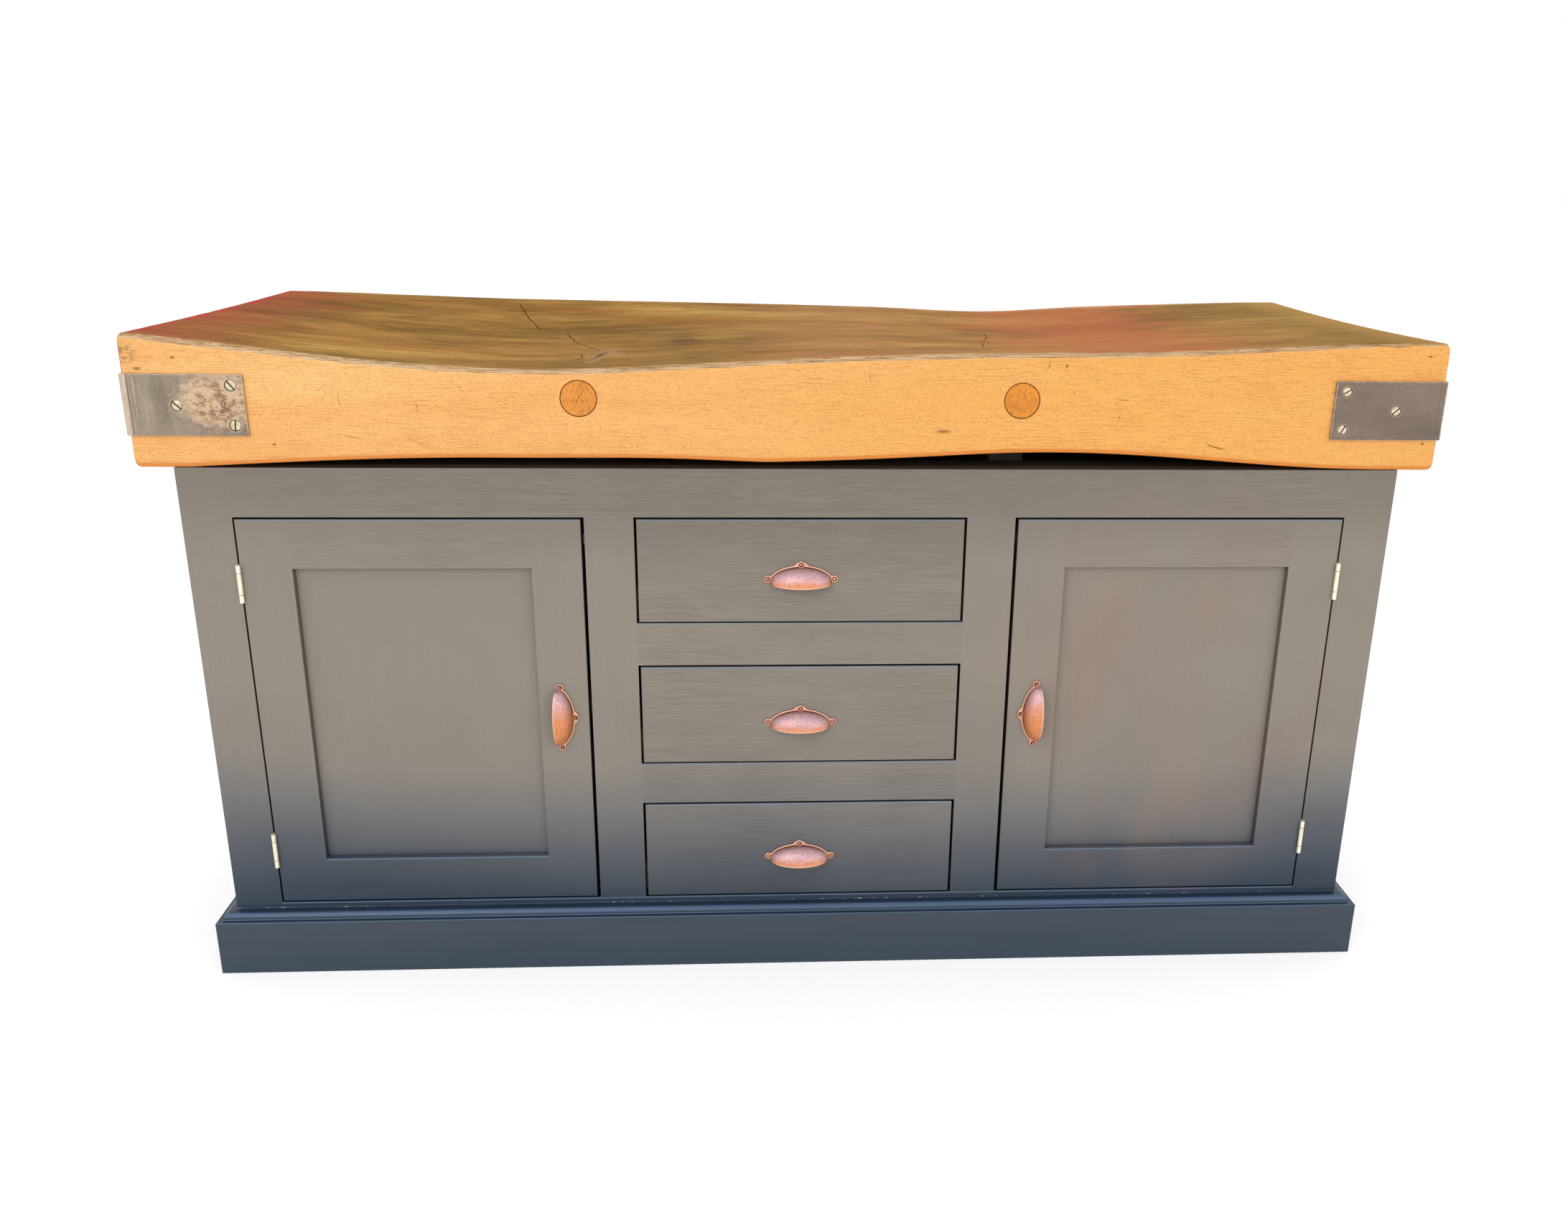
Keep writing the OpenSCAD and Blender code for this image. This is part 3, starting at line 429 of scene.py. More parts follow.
def block_face():
    """Sanded sycamore, honey orange, with fine broken grain lines along X."""
    f = Finish("sycamore_face", rough=0.5, specular=0.3)
    f.base = f.ramp(f.noise((2.2, 2.2, 14), 3), {0.3: "#f7b468", 0.5: "#fcbe74", 0.7: "#ffc67f"})
    f.lay("#fbb45c", f.ease(f.x, -0.7, 0.5) * 0.75)
    f.lay("#f0a04c", f.patches(0.5, 0.68, (9, 9, 26), 4, 0.6) * f.ease(f.x, 0.1, 0.6) * 0.45)
    level = f.z * (1 / (3.8 * MM)) + (f.noise((2.6, 2.6, 8), 3, 0.5) * 14 + f.noise((24, 24, 70)) * 1.3)
    grain = contours(f, level, 0.26) * f.patches(0.42, 0.62, (34, 60, 150), 3, 0.7)
    f.lay("#bc7030", grain * 0.33)
    hatch = f.patches(0.5, 0.66, (34, 60, 620), 4, 0.7)
    f.lay("#c47a38", hatch * f.ease(f.noise((5, 5, 22)), 0.36, 0.6, 0.4, 1.0) * 0.3)
    pores = f.patches(0.56, 0.66, (420, 900, 900))
    f.lay("#aa642c", pores * 0.4)
    f.lay("#78441e", f.patches(0.77, 0.8, (150, 150, 420), 1) * 0.6)
    rough_patch = f.near((-0.829, -HALF_D, 0.866), (0.018, 0.05, 0.018))
    rough_patch *= f.patches(0.4, 0.56, (160, 160, 260), 3)
    f.lay("#967050", rough_patch * 0.7)
    for x, z, reach in [(-0.773, 0.861, 0.004), (-0.817, 0.847, 0.007), (-0.663, 0.753, 0.003), (0.337, 0.858, 0.003),
                        (0.182, 0.773, 0.014), (0.41, 0.792, 0.002), (0.818, 0.759, 0.003)]:
        f.lay("#74401c", f.near((x, -HALF_D, z), (reach, 0.02, min(reach, 0.003))) * 0.7)
    f.lay("#e27c26", f.ease(f.attribute("low"), 0.55, 0.95) * 0.7)
    ends = f.ease(f.x, 1.6 * MM - HALF_W, 0.2 * MM - HALF_W)
    ends *= f.ease(f.z, 0.8, 0.84)
    f.lay("#ce3c3c", ends * 0.7)
    return with_rim(f, [(grain, 0.15), (hatch, 0.15), (pores, 0.15)])


def with_rim(f, relief):
    """Finishes a sawn face of the block, whose base colour gives way to the worn rim."""
    worn = f.attribute("rim") + (f.noise((40, 60, 240), 5, 0.75) - 0.5) * 0.9
    narrow = f.ease(f.x, -0.7, 0.1, 0.0, 0.1) + f.ease(f.x, 0.5, 0.8, 0.0, 0.25)
    f.lay(rim_colour(f), f.ease(worn - narrow, 0.5, 0.7, 0.0, 0.92))
    for height, depth in relief:
        f.bump(height, depth, 0.3)
    return f.done()


def rim_colour(f):
    """Bare greyish wood of the worn front edge."""
    pale = f.ramp(f.noise((14, 420, 620), 4, 0.75), {0.38: "#886646", 0.48: "#c6a074", 0.6: "#e4c49c"})
    return f.mix(f.patches(0.62, 0.68, (120, 420, 620)) * 0.5, pale, "#543a28")


def block_top():
    """The oiled chopping surface, olive brown with red and pale zones."""
    f = Finish("sycamore_top", rough=0.75, specular=0.05)
    loose = f.wander(3.5, (0.08, 0.1, 0.0))
    f.base = f.ramp(f.noise((2.6, 8, 1), 4, 0.6, loose), {0.32: "#825c22", 0.5: "#a17634", 0.66: "#be944a"})
    streaks = f.noise((11, 60, 1), 5, 0.7, loose)
    f.shade(f.ramp(streaks,
                   {0.32: (0.62, 0.58, 0.48, 1), 0.45: (0.88, 0.87, 0.83, 1), 0.56: (1.06, 1.06, 1.06, 1),
                    0.7: (1.3, 1.3, 1.34, 1)}))
    fine = f.noise((40, 260, 1), 4, 0.7, loose)
    f.shade(f.span(fine, 0.84, 1.14))
    f.shade(f.span(f.noise((170, 90, 1), 3, 0.7), 0.93, 1.07))
    x, y = f.x, f.y
    ragged = (f.noise((4, 26, 1), 5, 0.7) - 0.5) * 0.5
    reach = x + ragged
    zones = [((-0.1, 0.02, 0.1, 0.26), "#c48658", 0.34), ((0.22, 0.36, 0.5, 0.66), "#d27046", 0.55),
             ((-1.4, -1.3, -0.83, -0.66), "#ac4636", 0.62)]
    for (start, full, fade, end), tint, share in zones:
        f.lay(tint, f.ease(reach, start, full) * f.ease(reach, end, fade) * share)
    f.lay("#c8383c", f.ease(x + ragged * 0.08, -0.815, -0.832) * 0.8)
    f.lay("#ac6828", f.patches(0.5, 0.66, (2.6, 11, 1), 4) * 0.4)
    f.lay("#967a3a", f.ease(reach, 0.6, 0.8) * 0.35)
    f.lay("#e8b88c", f.ease(y + f.noise(9, 3) * 0.06, HALF_D, HALF_D + 0.04) * f.ease(x, -0.1, 0.3, 0.1, 0.7))
    f.lay("#c89a50", f.ease(x + f.noise((9, 9, 1), 3) * 0.08, 0.79, 0.87) * 0.5)
    # where a crack ends: a pinkish patch behind, partly painted highlight; a pale patch in front; a dark spot of
    # painted shade for a small hollow between
    for x, y, reach_x, reach_y, tint, share in [(-0.262, -0.13, 0.026, 0.065, "#b48870", 0.55),
                                                (-0.274, -0.205, 0.014, 0.05, "#c49674", 0.6),
                                                (-0.27, -0.15, 0.01, 0.03, "#5c3622", 0.7)]:
        spot = f.near((x, y, 0.85), (reach_x, reach_y, 0.2))
        f.lay(tint, spot * f.patches(0.36, 0.5, (90, 30, 1), 3) * share)
    for x, y, reach_x, reach_y, dark in [(-0.164, -0.042, 0.028, 0.06, 0.75), (-0.164, -0.042, 0.06, 0.11, 0.35),
                                         (0.348, 0.014, 0.05, 0.07, 0.3), (-0.74, 0.05, 0.12, 0.16, 0.4)]:
        knot = f.near((x, y, 0.85), (reach_x, reach_y, 0.2))
        f.lay("#582e1a", knot * f.ease(f.noise((16, 70, 1), 4), 0.4, 0.6, 0.3, 1.0) * dark)
    f.set("Roughness", f.span(fine, 0.65, 0.85))
    return with_rim(f, [(fine, 0.3)])


def end_grain(name, shades, middle, rings):
    """Growth rings about a line through a middle point, with rays across them."""
    f = Finish(name, rough=0.55, specular=0.35)
    far = f.vector("LENGTH", f.vector("SUBTRACT", f.wander(30, (0.004, 0.004, 0.004)), middle), output="Value")
    wave = f.math("SINE", far * rings)
    f.base = f.ramp(f.ease(wave, -1, 1), {0.0: shades[0], 0.6: shades[1], 1.0: shades[2]})
    f.lay("#965828", f.patches(0.56, 0.68, 1500) * 0.5)
    f.bump(wave, 0.15, 0.3)
    return f.done()


def plug_wood():
    """End grain of a turned plug, in short wavy flecks, with a dark line around it."""
    f = Finish("plug_end_grain", rough=0.6, specular=0.2)
    f.base = f.mix(f.x < 0.0, "#ec973e", "#ee9c4a")
    f.shade(f.span(f.noise((40, 40, 60), 3), 0.93, 1.07))
    rays = f.patches(0.54, 0.64, (380, 380, 150), place=f.wander(60, (0.006, 0.006, 0.006)))
    f.lay("#b4601e", rays * 0.5)
    f.lay("#96501c", f.patches(0.58, 0.68, 900) * 0.5)
    outline = f.ease(distance(abs(f.x) - PLUG_X, f.z - PLUG_Z), PLUG_R - 1.5 * MM, PLUG_R - 0.5 * MM)
    f.lay("#683a18", outline * 0.8)
    f.bump(rays, 0.15, 0.3)
    return f.done()


def crack_wood():
    f = Finish("crack_wood", rough=0.8, specular=0.1)
    f.base = f.ramp(f.noise(200, 3), {0.3: "#56321a", 0.7: "#86522e"})
    return f.done()


def strap_steel():
    """Dull steel. The left straps have rust, and rubbed and paler places."""
    f = Finish("strap_steel", rough=0.55, metal=0.35, specular=0.4)
    cloud = f.noise((9, 9, 26), 4, 0.6)
    f.base = f.ramp(cloud, {0.3: "#746458", 0.55: "#847466", 0.75: "#928071"})
    x, z = f.x, f.z
    left = x < 0.0
    left_base = f.ramp(f.noise((60, 60, 12), 4, 0.65), {0.3: "#847767", 0.55: "#9b8c7a", 0.75: "#b1a08c"})
    f.lay(left_base, left)
    blot = f.near((-0.722, -HALF_D, STRAP_MID_Z + 5 * MM), (0.085, 0.3, 0.056))
    f.lay("#e2c09a", f.ease(blot + (f.noise((90, 90, 130), 6, 0.8) - 0.5) * 2.2, 0.3, 0.95) * 0.78)
    spots = f.patches(0.47, 0.56, (80, 80, 110), 7, 0.8)
    f.lay("#784e34", spots * f.near((-0.724, -HALF_D, STRAP_MID_Z + 3 * MM), (0.058, 0.3, 0.046)) * 0.85)
    f.lay("#604c3e", f.patches(0.68, 0.73, (44, 44, 60), 3) * 0.4)
    f.shade(f.ease(f.noise(520, 3), 0.35, 0.65, 0.9, 1.08))
    far = abs(x)
    bend = left * f.ease(far, HALF_W - 5.5 * MM, HALF_W - 4 * MM)
    f.lay("#d6c0ac", bend * f.ease(f.noise((260, 60, 30), 4, 0.7), 0.3, 0.6, 0.4, 0.95))
    f.lay("#54483e", f.ease(abs(far - (HALF_W - 5.8 * MM)), 1.4 * MM, 0.2 * MM) * (left * 0.3 + 0.2))
    scratch = f.ease(abs(x + 0.8228), 0.7 * MM, 0.1 * MM)
    scratch *= f.patches(0.35, 0.55, (20, 20, 240), 3)
    f.lay("#d6d2c6", scratch * (abs(z - 0.812) < 25 * MM) * 0.8)
    halos = []
    for back, rise in STRAP_SCREWS:
        off = distance(far - (HALF_W + STRAP_T - back), z - (STRAP_MID_Z + rise))
        halos.append(f.ease(off + (x > 0.0) * (1.4 * MM), 9.6 * MM, 8.3 * MM))
    f.lay("#d6c4a8", pick("MAXIMUM", *halos) * 0.45)
    # pale bevelled edges: partly worn steel, partly painted highlight
    normal = f.vector("ABSOLUTE", f.add("NewGeometry", "True Normal"))
    most = pick("MAXIMUM", *[f.axis(name, normal) for name in "XYZ"])
    f.lay("#cebea6", (most < 0.96) * f.ease(f.noise(150, 3), 0.35, 0.6, 0.35, 1.0))
    f.set("Roughness", f.span(cloud, 0.5, 0.62))
    f.bump(f.noise(320, 3), 0.2, 0.3)
    return f.done()


def slotted_steel():
    """Pale, slightly brassy screw heads, dark at their rims and in their slots."""
    f = Finish("slotted_steel", rough=0.45, metal=0.4, specular=0.5)
    cloud = f.noise(260, 4, 0.7)
    f.base = f.ramp(cloud, {0.3: "#baa684", 0.5: "#deccaa", 0.7: "#f4e8cc"})
    f.lay("#463a2e", f.attribute("dark"))
    f.bump(cloud, 0.15, 0.4)
    return f.done()


def metal(name, shades, rough, scale, relief=0.1, metallic=1.0):
    """A metal whose colour drifts between three shades."""
    f = Finish(name, rough=rough, metal=metallic)
    cloud = f.noise(scale, 4, 0.6)
    f.base = f.ramp(cloud, {0.3: shades[0], 0.5: shades[1], 0.7: shades[2]})
    f.set("Roughness", f.span(cloud, rough + 0.06, rough - 0.06))
    f.bump(f.noise(scale * 4), relief, 0.4)
    return f.done()


def copper():
    """Antiqued copper with a fine dark speckle. Its colour by facing is painted reflection, mauve where it faces up
    and orange below; the flange and lip carry painted highlight and the crevices painted shade.
    """
    f = Finish("antique_copper", rough=0.45, metal=0.6, specular=0.4)
    # painted reflection: mauve on faces turned up, orange on faces turned down
    up = f.ease(f.normal("Z") + (f.noise(90, 3) - 0.5) * 0.5, -0.15, 0.6)
    f.base = f.mix(up, "#ec9864", "#d9b0b5")
    f.shade(f.span(f.noise(300, 3), 0.86, 1.12))
    specks = f.patches(0.52, 0.66, 1500)
    f.lay("#78423a", specks * 0.55)
    # painted highlight on the flange, the lip and the raised lug rings
    f.lay(f.mix(up, "#ecb08e", "#eac0ac"), f.attribute("painted_highlight_mark"))
    # painted shade in the crevices of the pulls
    f.lay("#46221a", f.attribute("painted_shade_mark") * 0.92)
    f.bump(specks, 0.1, 0.4)
    return f.done()


def fixings():
    """The screws and plate of a door: copper screws, brass ones at the hinges, a steel plate."""
    f = Finish("door_fixings", rough=0.4, metal=0.8)
    cloud = f.noise(300)
    warm, yellow, grey = [f.ramp(cloud, {0.3: low, 0.7: high}) for low,
                          high in (("#c4785a", "#f2b292"), ("#d6c48c", "#faf4d6"), ("#74706c", "#96928c"))]
    x, z = abs(f.x), f.z
    lugs = ((324.5, 377.8 - 44.25), (324.5, 377.8 + 44.25), (305.1, 377.8))
    far = pick("MINIMUM", *[distance(x - lug_x * MM, z - lug_z * MM) for lug_x, lug_z in lugs])
    # painted highlight: the copper screws stay warm and pale only within a millimetre of their middles, dark brown
    # around it
    warm = f.mix(f.ease(far, 1.0 * MM, 1.7 * MM), warm, "#5c2e24")
    f.base = f.mix(x > 0.6, f.mix(f.y > 0.02 - HALF_D, warm, grey), yellow)
    f.bump(cloud, 0.1, 0.3)
    return f.done()


def pine(name, axis, pale="#deb886", dark="#c49660"):
    """Bare planed softwood with soft growth bands along one axis."""
    f = Finish(name, rough=0.62, specular=0.3)
    loose = f.wander(4, along(axis, 0.0, 0.05))
    f.base = f.mix(f.ease(f.noise(along(axis, 1.2, 42), 3, place=loose), 0.36, 0.7), pale, dark)
    fibres = f.noise(along(axis, 14, 600), place=loose)
    f.shade(f.span(fibres, 0.94, 1.05))
    f.bump(fibres, 0.2, 0.3)
    return f.done()


def knuckle_brass():
    """Pale brass, with dark joints between the knuckles of each hinge."""
    f = Finish("hinge_brass", rough=0.4, metal=0.5, specular=0.5)
    cloud = f.noise((260, 260, 60), 3)
    f.base = f.ramp(cloud, {0.3: "#f0e6c0", 0.5: "#fcf7da", 0.7: "#fffcec"})
    z = f.z
    for joint in HINGE_JOINTS:
        f.lay("#463824", f.ease(abs(z - joint), 0.7 * MM, 0.2 * MM) * 0.65)
    f.bump(cloud, 0.1, 0.2)
    return f.done()


def dress(finish, *patterns):
    """Gives a finish to every material slot of the named CAD nodes. A * stands for any letters."""
    for pattern in patterns:
        head, star, tail = pattern.partition("*")
        for name in [n for n in nodes if n.startswith(head) and n.endswith(tail)] if star else [pattern]:
            slots = nodes[name].data.materials
            if not slots:
                slots.append(finish)
            for i in range(len(slots)):
                slots[i] = finish


# ---- meshes ----


def waver(*place):
    """Noise about 0 at a place."""
    return noise.noise(Vector(place))


def new_piece(name, mesh, crisp, body="root", replaces=()):
    """An object for a mesh, shaded smooth up to an angle. It rides on a body and may stand for nodes."""
    soften(mesh, crisp)
    piece = bpy.data.objects.new(name, mesh)
    show(piece)
    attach(piece, body)
    if replaces:
        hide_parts(*replaces)


def soften(mesh, degrees):
    """Smooth shading, with the edges sharper than the angle kept crisp."""
    b = bmesh.new()
    b.from_mesh(mesh)
    for face in b.faces:
        face.smooth = True
    for edge in b.edges:
        if len(edge.link_faces) == 2:
            edge.smooth = edge.calc_face_angle(0) < radians(degrees)
    b.to_mesh(mesh)
    b.free()


def cut(mesh, cutter):
    """The mesh without what lies in the cutter, whose faces keep their place in the material list."""
    work = bpy.data.objects.new("work", mesh)
    tool = bpy.data.objects.new("tool", cutter)
    show(work)
    show(tool)
    modifier = work.modifiers.new("cut", "BOOLEAN")
    modifier.object = tool
    modifier.solver = "EXACT"
    bpy.context.view_layer.update()
    done = bpy.data.meshes.new_from_object(work.evaluated_get(bpy.context.evaluated_depsgraph_get()))
    for o in (work, tool):
        bpy.data.objects.remove(o)
    return done


def as_mesh(name, b):
    bmesh.ops.recalc_face_normals(b, faces=b.faces)
    mesh = bpy.data.meshes.new(name)
    b.to_mesh(mesh)
    b.free()
    return mesh


def joined(meshes, places=None):
    """One mesh from several, each moved by its matrix."""
    b = bmesh.new()
    for i, mesh in enumerate(meshes):
        first = len(b.verts)
        b.from_mesh(mesh)
        if places:
            b.verts.ensure_lookup_table()
            bmesh.ops.transform(b, matrix=places[i], verts=b.verts[first:])
    return as_mesh("joined", b)


def coated(mesh, *finishes, index=0):
    """The mesh with finishes, all its faces in the one at the index."""
    for finish in finishes:
        mesh.materials.append(finish)
    for face in mesh.polygons:
        face.material_index = index
    return mesh


def skinned(name, rows, caps=False, marks=()):
    """A surface over closed rows of points. marks names attributes, with values after x, y and z."""
    b = bmesh.new()
    layers = [b.verts.layers.float.new(mark) for mark in marks]
    grid = []
    for row in rows:
        verts = [b.verts.new(point[:3]) for point in row]
        for v, point in zip(verts, row):
            for layer, value in zip(layers, point[3:]):
                v[layer] = value
        grid.append(verts)
    for one, two in zip(grid, grid[1:]):
        for j in range(len(one)):
            k = (j + 1) % len(one)
            b.faces.new((one[j], one[k], two[k], two[j]))
    if caps:
        b.faces.new(grid[0][::-1])
        b.faces.new(grid[-1])
    return as_mesh(name, b)


def facing(direction):
    """The turn that brings +Z to a direction."""
    return Vector((0, 0, 1)).rotation_difference(Vector(direction)).to_matrix().to_4x4()


def box(size, place=Matrix.Identity(4)):
    b = bmesh.new()
    bmesh.ops.create_cube(b, size=1, matrix=place @ Matrix.Diagonal((*size, 1)))
    return as_mesh("box", b)


def rod(radius, length, middle, direction, sides=48):
    """A closed cylinder."""
    b = bmesh.new()
    bmesh.ops.create_cone(b, cap_ends=True, segments=sides, radius1=radius, radius2=radius,
                          depth=length, matrix=Matrix.Translation(middle) @ facing(direction))
    return as_mesh("rod", b)


def lathe(name, profile, sides=32, marks=()):
    """A surface turned about Z from (radius, height) points, closed at a radius of 0.
    marks names attributes, whose values follow the height in each point."""
    rows = []
    for radius, height, *values in profile:
        r = max(radius, 1e-6)
        turns = [2 * pi * i / sides for i in range(sides)]
        rows.append([(r * cos(t), r * sin(t), height, *values) for t in turns])
    b = bmesh.new()
    b.from_mesh(skinned(name, rows, marks=marks))
    bmesh.ops.remove_doubles(b, verts=b.verts, dist=1e-5)
    return as_mesh(name, b)


def wedge(line, out, width, depth):
    """A closed cutter along points of a surface, widest at the surface and sharp below it.
    out is the direction away from the wood."""
    out = Vector(out)
    rows = []
    for i, point in enumerate(line):
        point = Vector(point)
        course = Vector(line[min(i + 1, len(line) - 1)]) - Vector(line[max(i - 1, 0)])
        side = course.cross(out).normalized()
        tip = i in (0, len(line) - 1)
        half = width / 2 * (0.25 if tip else 0.75 + 0.5 * waver(*(point * 90)))
        rows.append([point + side * half + out * 3 * MM, point - side * half + out * 3 * MM,
                     point - out * depth * (0.3 if tip else 1)])
    return skinned("wedge", rows, caps=True)


# ---- the butcher's block ----


FACE, TOP, ENDS, CRACK = range(4)   # the block's finishes


def worn(x, lobes, half=HALF_W):
    depth = 0
    for middle, width, deep, sharp in lobes:
        d = (x / half - middle) / width
        if abs(d) < 1:
            depth += deep * MM * cos(pi / 2 * d) ** sharp
    return depth


def edge_height(x, ends, lobes):
    return ends[0] + (ends[1] - ends[0]) * (x / HALF_W + 1) / 2 - worn(x, lobes)


def top_z(x, y):
    t = y / (2 * HALF_D) + 0.5
    front = (1 - t) * edge_height(x, FRONT_ENDS, FRONT_WEAR)
    back = t * edge_height(x, BACK_ENDS, BACK_WEAR)
    return CABINET_H + front + back - sin(pi * t) * worn(x, MID_WEAR)


def under_z(x):
    return CABINET_H + worn(x, UNDER_WEAR, SIDE_INNER)


def rounded(radius, degrees):
    """How far a point of a rounded edge lies inside each of its two planes."""
    a = radians(degrees)
    return radius * (1 - cos(a)), radius * (1 - sin(a))


def ring(x, drop, ya, yb, ra, rb):
    """Points across a board at x, as (y, z, rim, low), from its lower front edge upwards."""
    low = under_z(x) + 1.6 * drop
    foot = low + 3 * LOW_R
    points = [(ya, low, 0, 0)]
    if ra:
        top = top_z(x, ya) - drop
        points = [(ya + back, low + up, 0, 1) for back, up in [rounded(LOW_R, a) for a in (90, 45, 0)]]
        points += [(ya, foot + (top - ra - foot) * share, 0, 0) for share in (0, 0.3, 0.6, 0.85)]
        points.append((ya, top - ra - 2 * MM, 0, 0))
        for step, at_rim in enumerate((0.2, 0.85, 1, 1, 0.75)):
            back, down = rounded(ra, 90 * step / 4)
            points.append((ya + back, top - down, at_rim, 0))
        points.append((ya + ra + 2.5 * MM, top_z(x, ya + ra + 2.5 * MM) - drop, 0, 0))
    start, end = ya + ra, yb - rb
    count = max(2, round((end - start) / (8 * MM)))
    for i in range(1 if ra else 0, count + (0 if rb else 1)):
        y = start + (end - start) * i / count
        points.append((y, top_z(x, y) - drop, 0, 0))
    if not rb:
        return points + [(yb, low, 0, 0)]
    top = top_z(x, yb) - drop
    points += [(yb - back, top - down, 0.55, 0) for down, back in [rounded(rb, 90 * step / 4) for step in range(5)]]
    points.append((yb, foot, 0, 0))
    return points + [(yb - back, low + up, 0, 1) for back, up in [rounded(LOW_R, a) for a in (0, 45, 90)]]


def block_stations(step=9 * MM):
    """(x, drop) along the block, with its ends rounded over."""
    ends = [rounded(END_R, 90 * i / 3) for i in range(4)]
    left = [(-HALF_W + inward, drop) for inward, drop in ends]
    right = [(-x, drop) for x, drop in reversed(left)]
    reach = HALF_W - END_R
    count = round(2 * reach / step)
    return left + [(-reach + 2 * reach * i / count, 0) for i in range(1, count)] + right


def block_board(name, ya, yb, ra=0, rb=0):
    """The mesh of one board of the block, skinned over rings along X."""
    rows = []
    for x, drop in block_stations():
        row = []
        for y, z, rim, low in ring(x, drop, ya, yb, ra, rb):
            dent = max(0, 0.4 + 0.6 * waver(x * 30, y * 55, z * 8)) * 0.5 * MM
            if rim > 0.7:
                dent += max(0, waver(x * 70, y * 70, 3)) * 1.2 * MM
            row.append((x, y, z - (dent if z > PLUG_Z else 0), rim, low))
        rows.append(row)
    return skinned(name, rows, caps=True, marks=("rim", "low"))


def jagged(points, step=9 * MM, reach=2.2 * MM):
    """More points along a line, each a little off it, in metres."""
    points = [(x * MM, y * MM) for x, y in points]
    line = []
    for (x0, y0), (x1, y1) in zip(points, points[1:]):
        count = max(1, round(hypot(x1 - x0, y1 - y0) / step))
        line += [(x0 + (x1 - x0) * i / count, y0 + (y1 - y0) * i / count) for i in range(count)]
    line.append(points[-1])
    return [(x + reach * waver(x * 120, y * 120, 1), y + reach * waver(x * 120, y * 120, 7)) for x, y in line]


# cracks in the top as points (x, y), with their widths, all in millimetres
CRACKS = [
    ([(-449, 262), (-420, 167), (-388, 84), (-352, 62)], 3.4),
    ([(-345, 58), (-324, -12), (-278, -99), (-265, -106)], 3.2),
    ([(-262, -112), (-272, -160), (-280, -215)], 3.6),
    ([(-300, -130), (-292, -175), (-302, -210)], 2.6),
    ([(287, 58), (286, 11), (270, -66)], 2.4),
    ([(262, -85), (254, -150), (246, -215)], 2.2),
    ([(-817, -82), (-809, -74), (-800, -78)], 6),
]

# checks, scratches and dents in the front face as points (x, z), likewise
CHECKS = [
    ([(-578, 820), (-578.5, 810), (-576, 799)], 1.3),
    ([(-484, 810), (-482.5, 802), (-483, 794)], 1.2),
    ([(-432, 827), (-425, 821), (-419, 815)], 1.0),
    ([(-586, 767), (-566, 763), (-547, 759)], 1.0),
    ([(-498, 763), (-483, 755), (-467, 747)], 1.0),
    ([(86.2, 857.5), (85.5, 854.5), (86, 851.5)], 1.1),
    ([(86.2, 849), (85.5, 842), (87, 834)], 1.2),
    ([(316, 865), (314.5, 858), (312, 851)], 1.4),
    ([(526, 760), (531, 757), (537, 754), (546, 752), (556, 750)], 1.8),
    ([(524, 754), (529, 752.5)], 1.2),
    ([(405, 815.5), (413, 814.8), (423, 814.5)], 1.4),
    ([(61, 778), (70, 781)], 1.3),
    ([(30, 758), (37, 762)], 1.0),
    ([(808, 873), (811, 873.2), (814, 873)], 4),
]


def block_parts():
    """(name, front y, back y, radius of the front rim, of the back rim, node) of each board."""
    parts = [("block_front", -HALF_D, BOARD_W - HALF_D, RIM_R, 0, "block_front_board")]
    for i in range(4):
        y = BOARD_W - HALF_D + i * CORE_W
        parts.append((f"block_plank_{i + 1}", y, y + CORE_W, 0, 0, "block_core_planks"))
    return parts + [("block_back", HALF_D - BOARD_W, HALF_D, 0, BACK_RIM_R, "block_back_board")]


def finish_index(face):
    """Which of the block's finishes a face takes."""
    if abs(face.normal.x) > 0.9 and abs(face.center.x) > HALF_W - END_R:
        return ENDS
    return TOP if face.normal.z > 0.6 else FACE


def make_block(*finishes):
    """The six boards of the block. The finishes come in the order FACE, TOP, ENDS, CRACK."""
    up, front = (0, 0, 1), (0, -1, 0)
    holes = joined([rod(PLUG_R + 0.5 * MM, 2 * PLUG_T, (x, y, PLUG_Z), (0, 1, 0))
                    for x in (-PLUG_X, PLUG_X) for y in (-HALF_D, HALF_D)])
    cracks = [wedge([(x, y, top_z(x, y)) for x, y in jagged(points)], up, 1.25 * (width * MM), 4 * MM)
              for points, width in CRACKS]
    checks = joined([wedge([(x * MM, -HALF_D, z * MM) for x, z in points], front, 1.7 * (width * MM), 2 * MM)
                     for points, width in CHECKS])
    for cutter in cracks + [checks, holes]:
        coated(cutter, *finishes, index=CRACK)
    for name, ya, yb, ra, rb, node in block_parts():
        mesh = coated(block_board(name, ya, yb, ra, rb), *finishes)
        for face in mesh.polygons:
            face.material_index = finish_index(face)
        if ra or rb:
            mesh = cut(mesh, holes)
        if ra:
            mesh = cut(mesh, checks)
        for crack in cracks:
            reach = [v.co.y for v in crack.vertices]
            if min(reach) < yb and max(reach) > ya:
                mesh = cut(mesh, crack)
        mesh.name = name
        new_piece(name, mesh, 40, replaces=[node])


def plug_marks(left):
    """(start, end, width) of the cracks in the two front plugs, from the middle of the left one."""
    tilt, across = Vector((0.51, 0, 0.86)), Vector((-0.86, 0, 0.51))
    in_left, in_right = [(left - tilt * 19 * MM, left + tilt * 20 * MM, 1.3 * MM)], []
    for i in range(9):
        at = left + tilt * (-8 + 3.4 * i) * MM + across * 2.2 * MM
        in_left.append((at, at + across * (5.5 + 2 * sin(3 * i)) * MM + tilt * 1.5 * MM, 1.0 * MM))
    for i in range(8):
        at = Vector((PLUG_X + (-19 + 3.2 * i) * MM, -HALF_D, PLUG_Z + (-3 - 0.9 * i) * MM))
        in_right.append((at, at + Vector((1.5, 0, -5.5 + sin(5 * i))) * MM, 1.0 * MM))
    return in_left, in_right


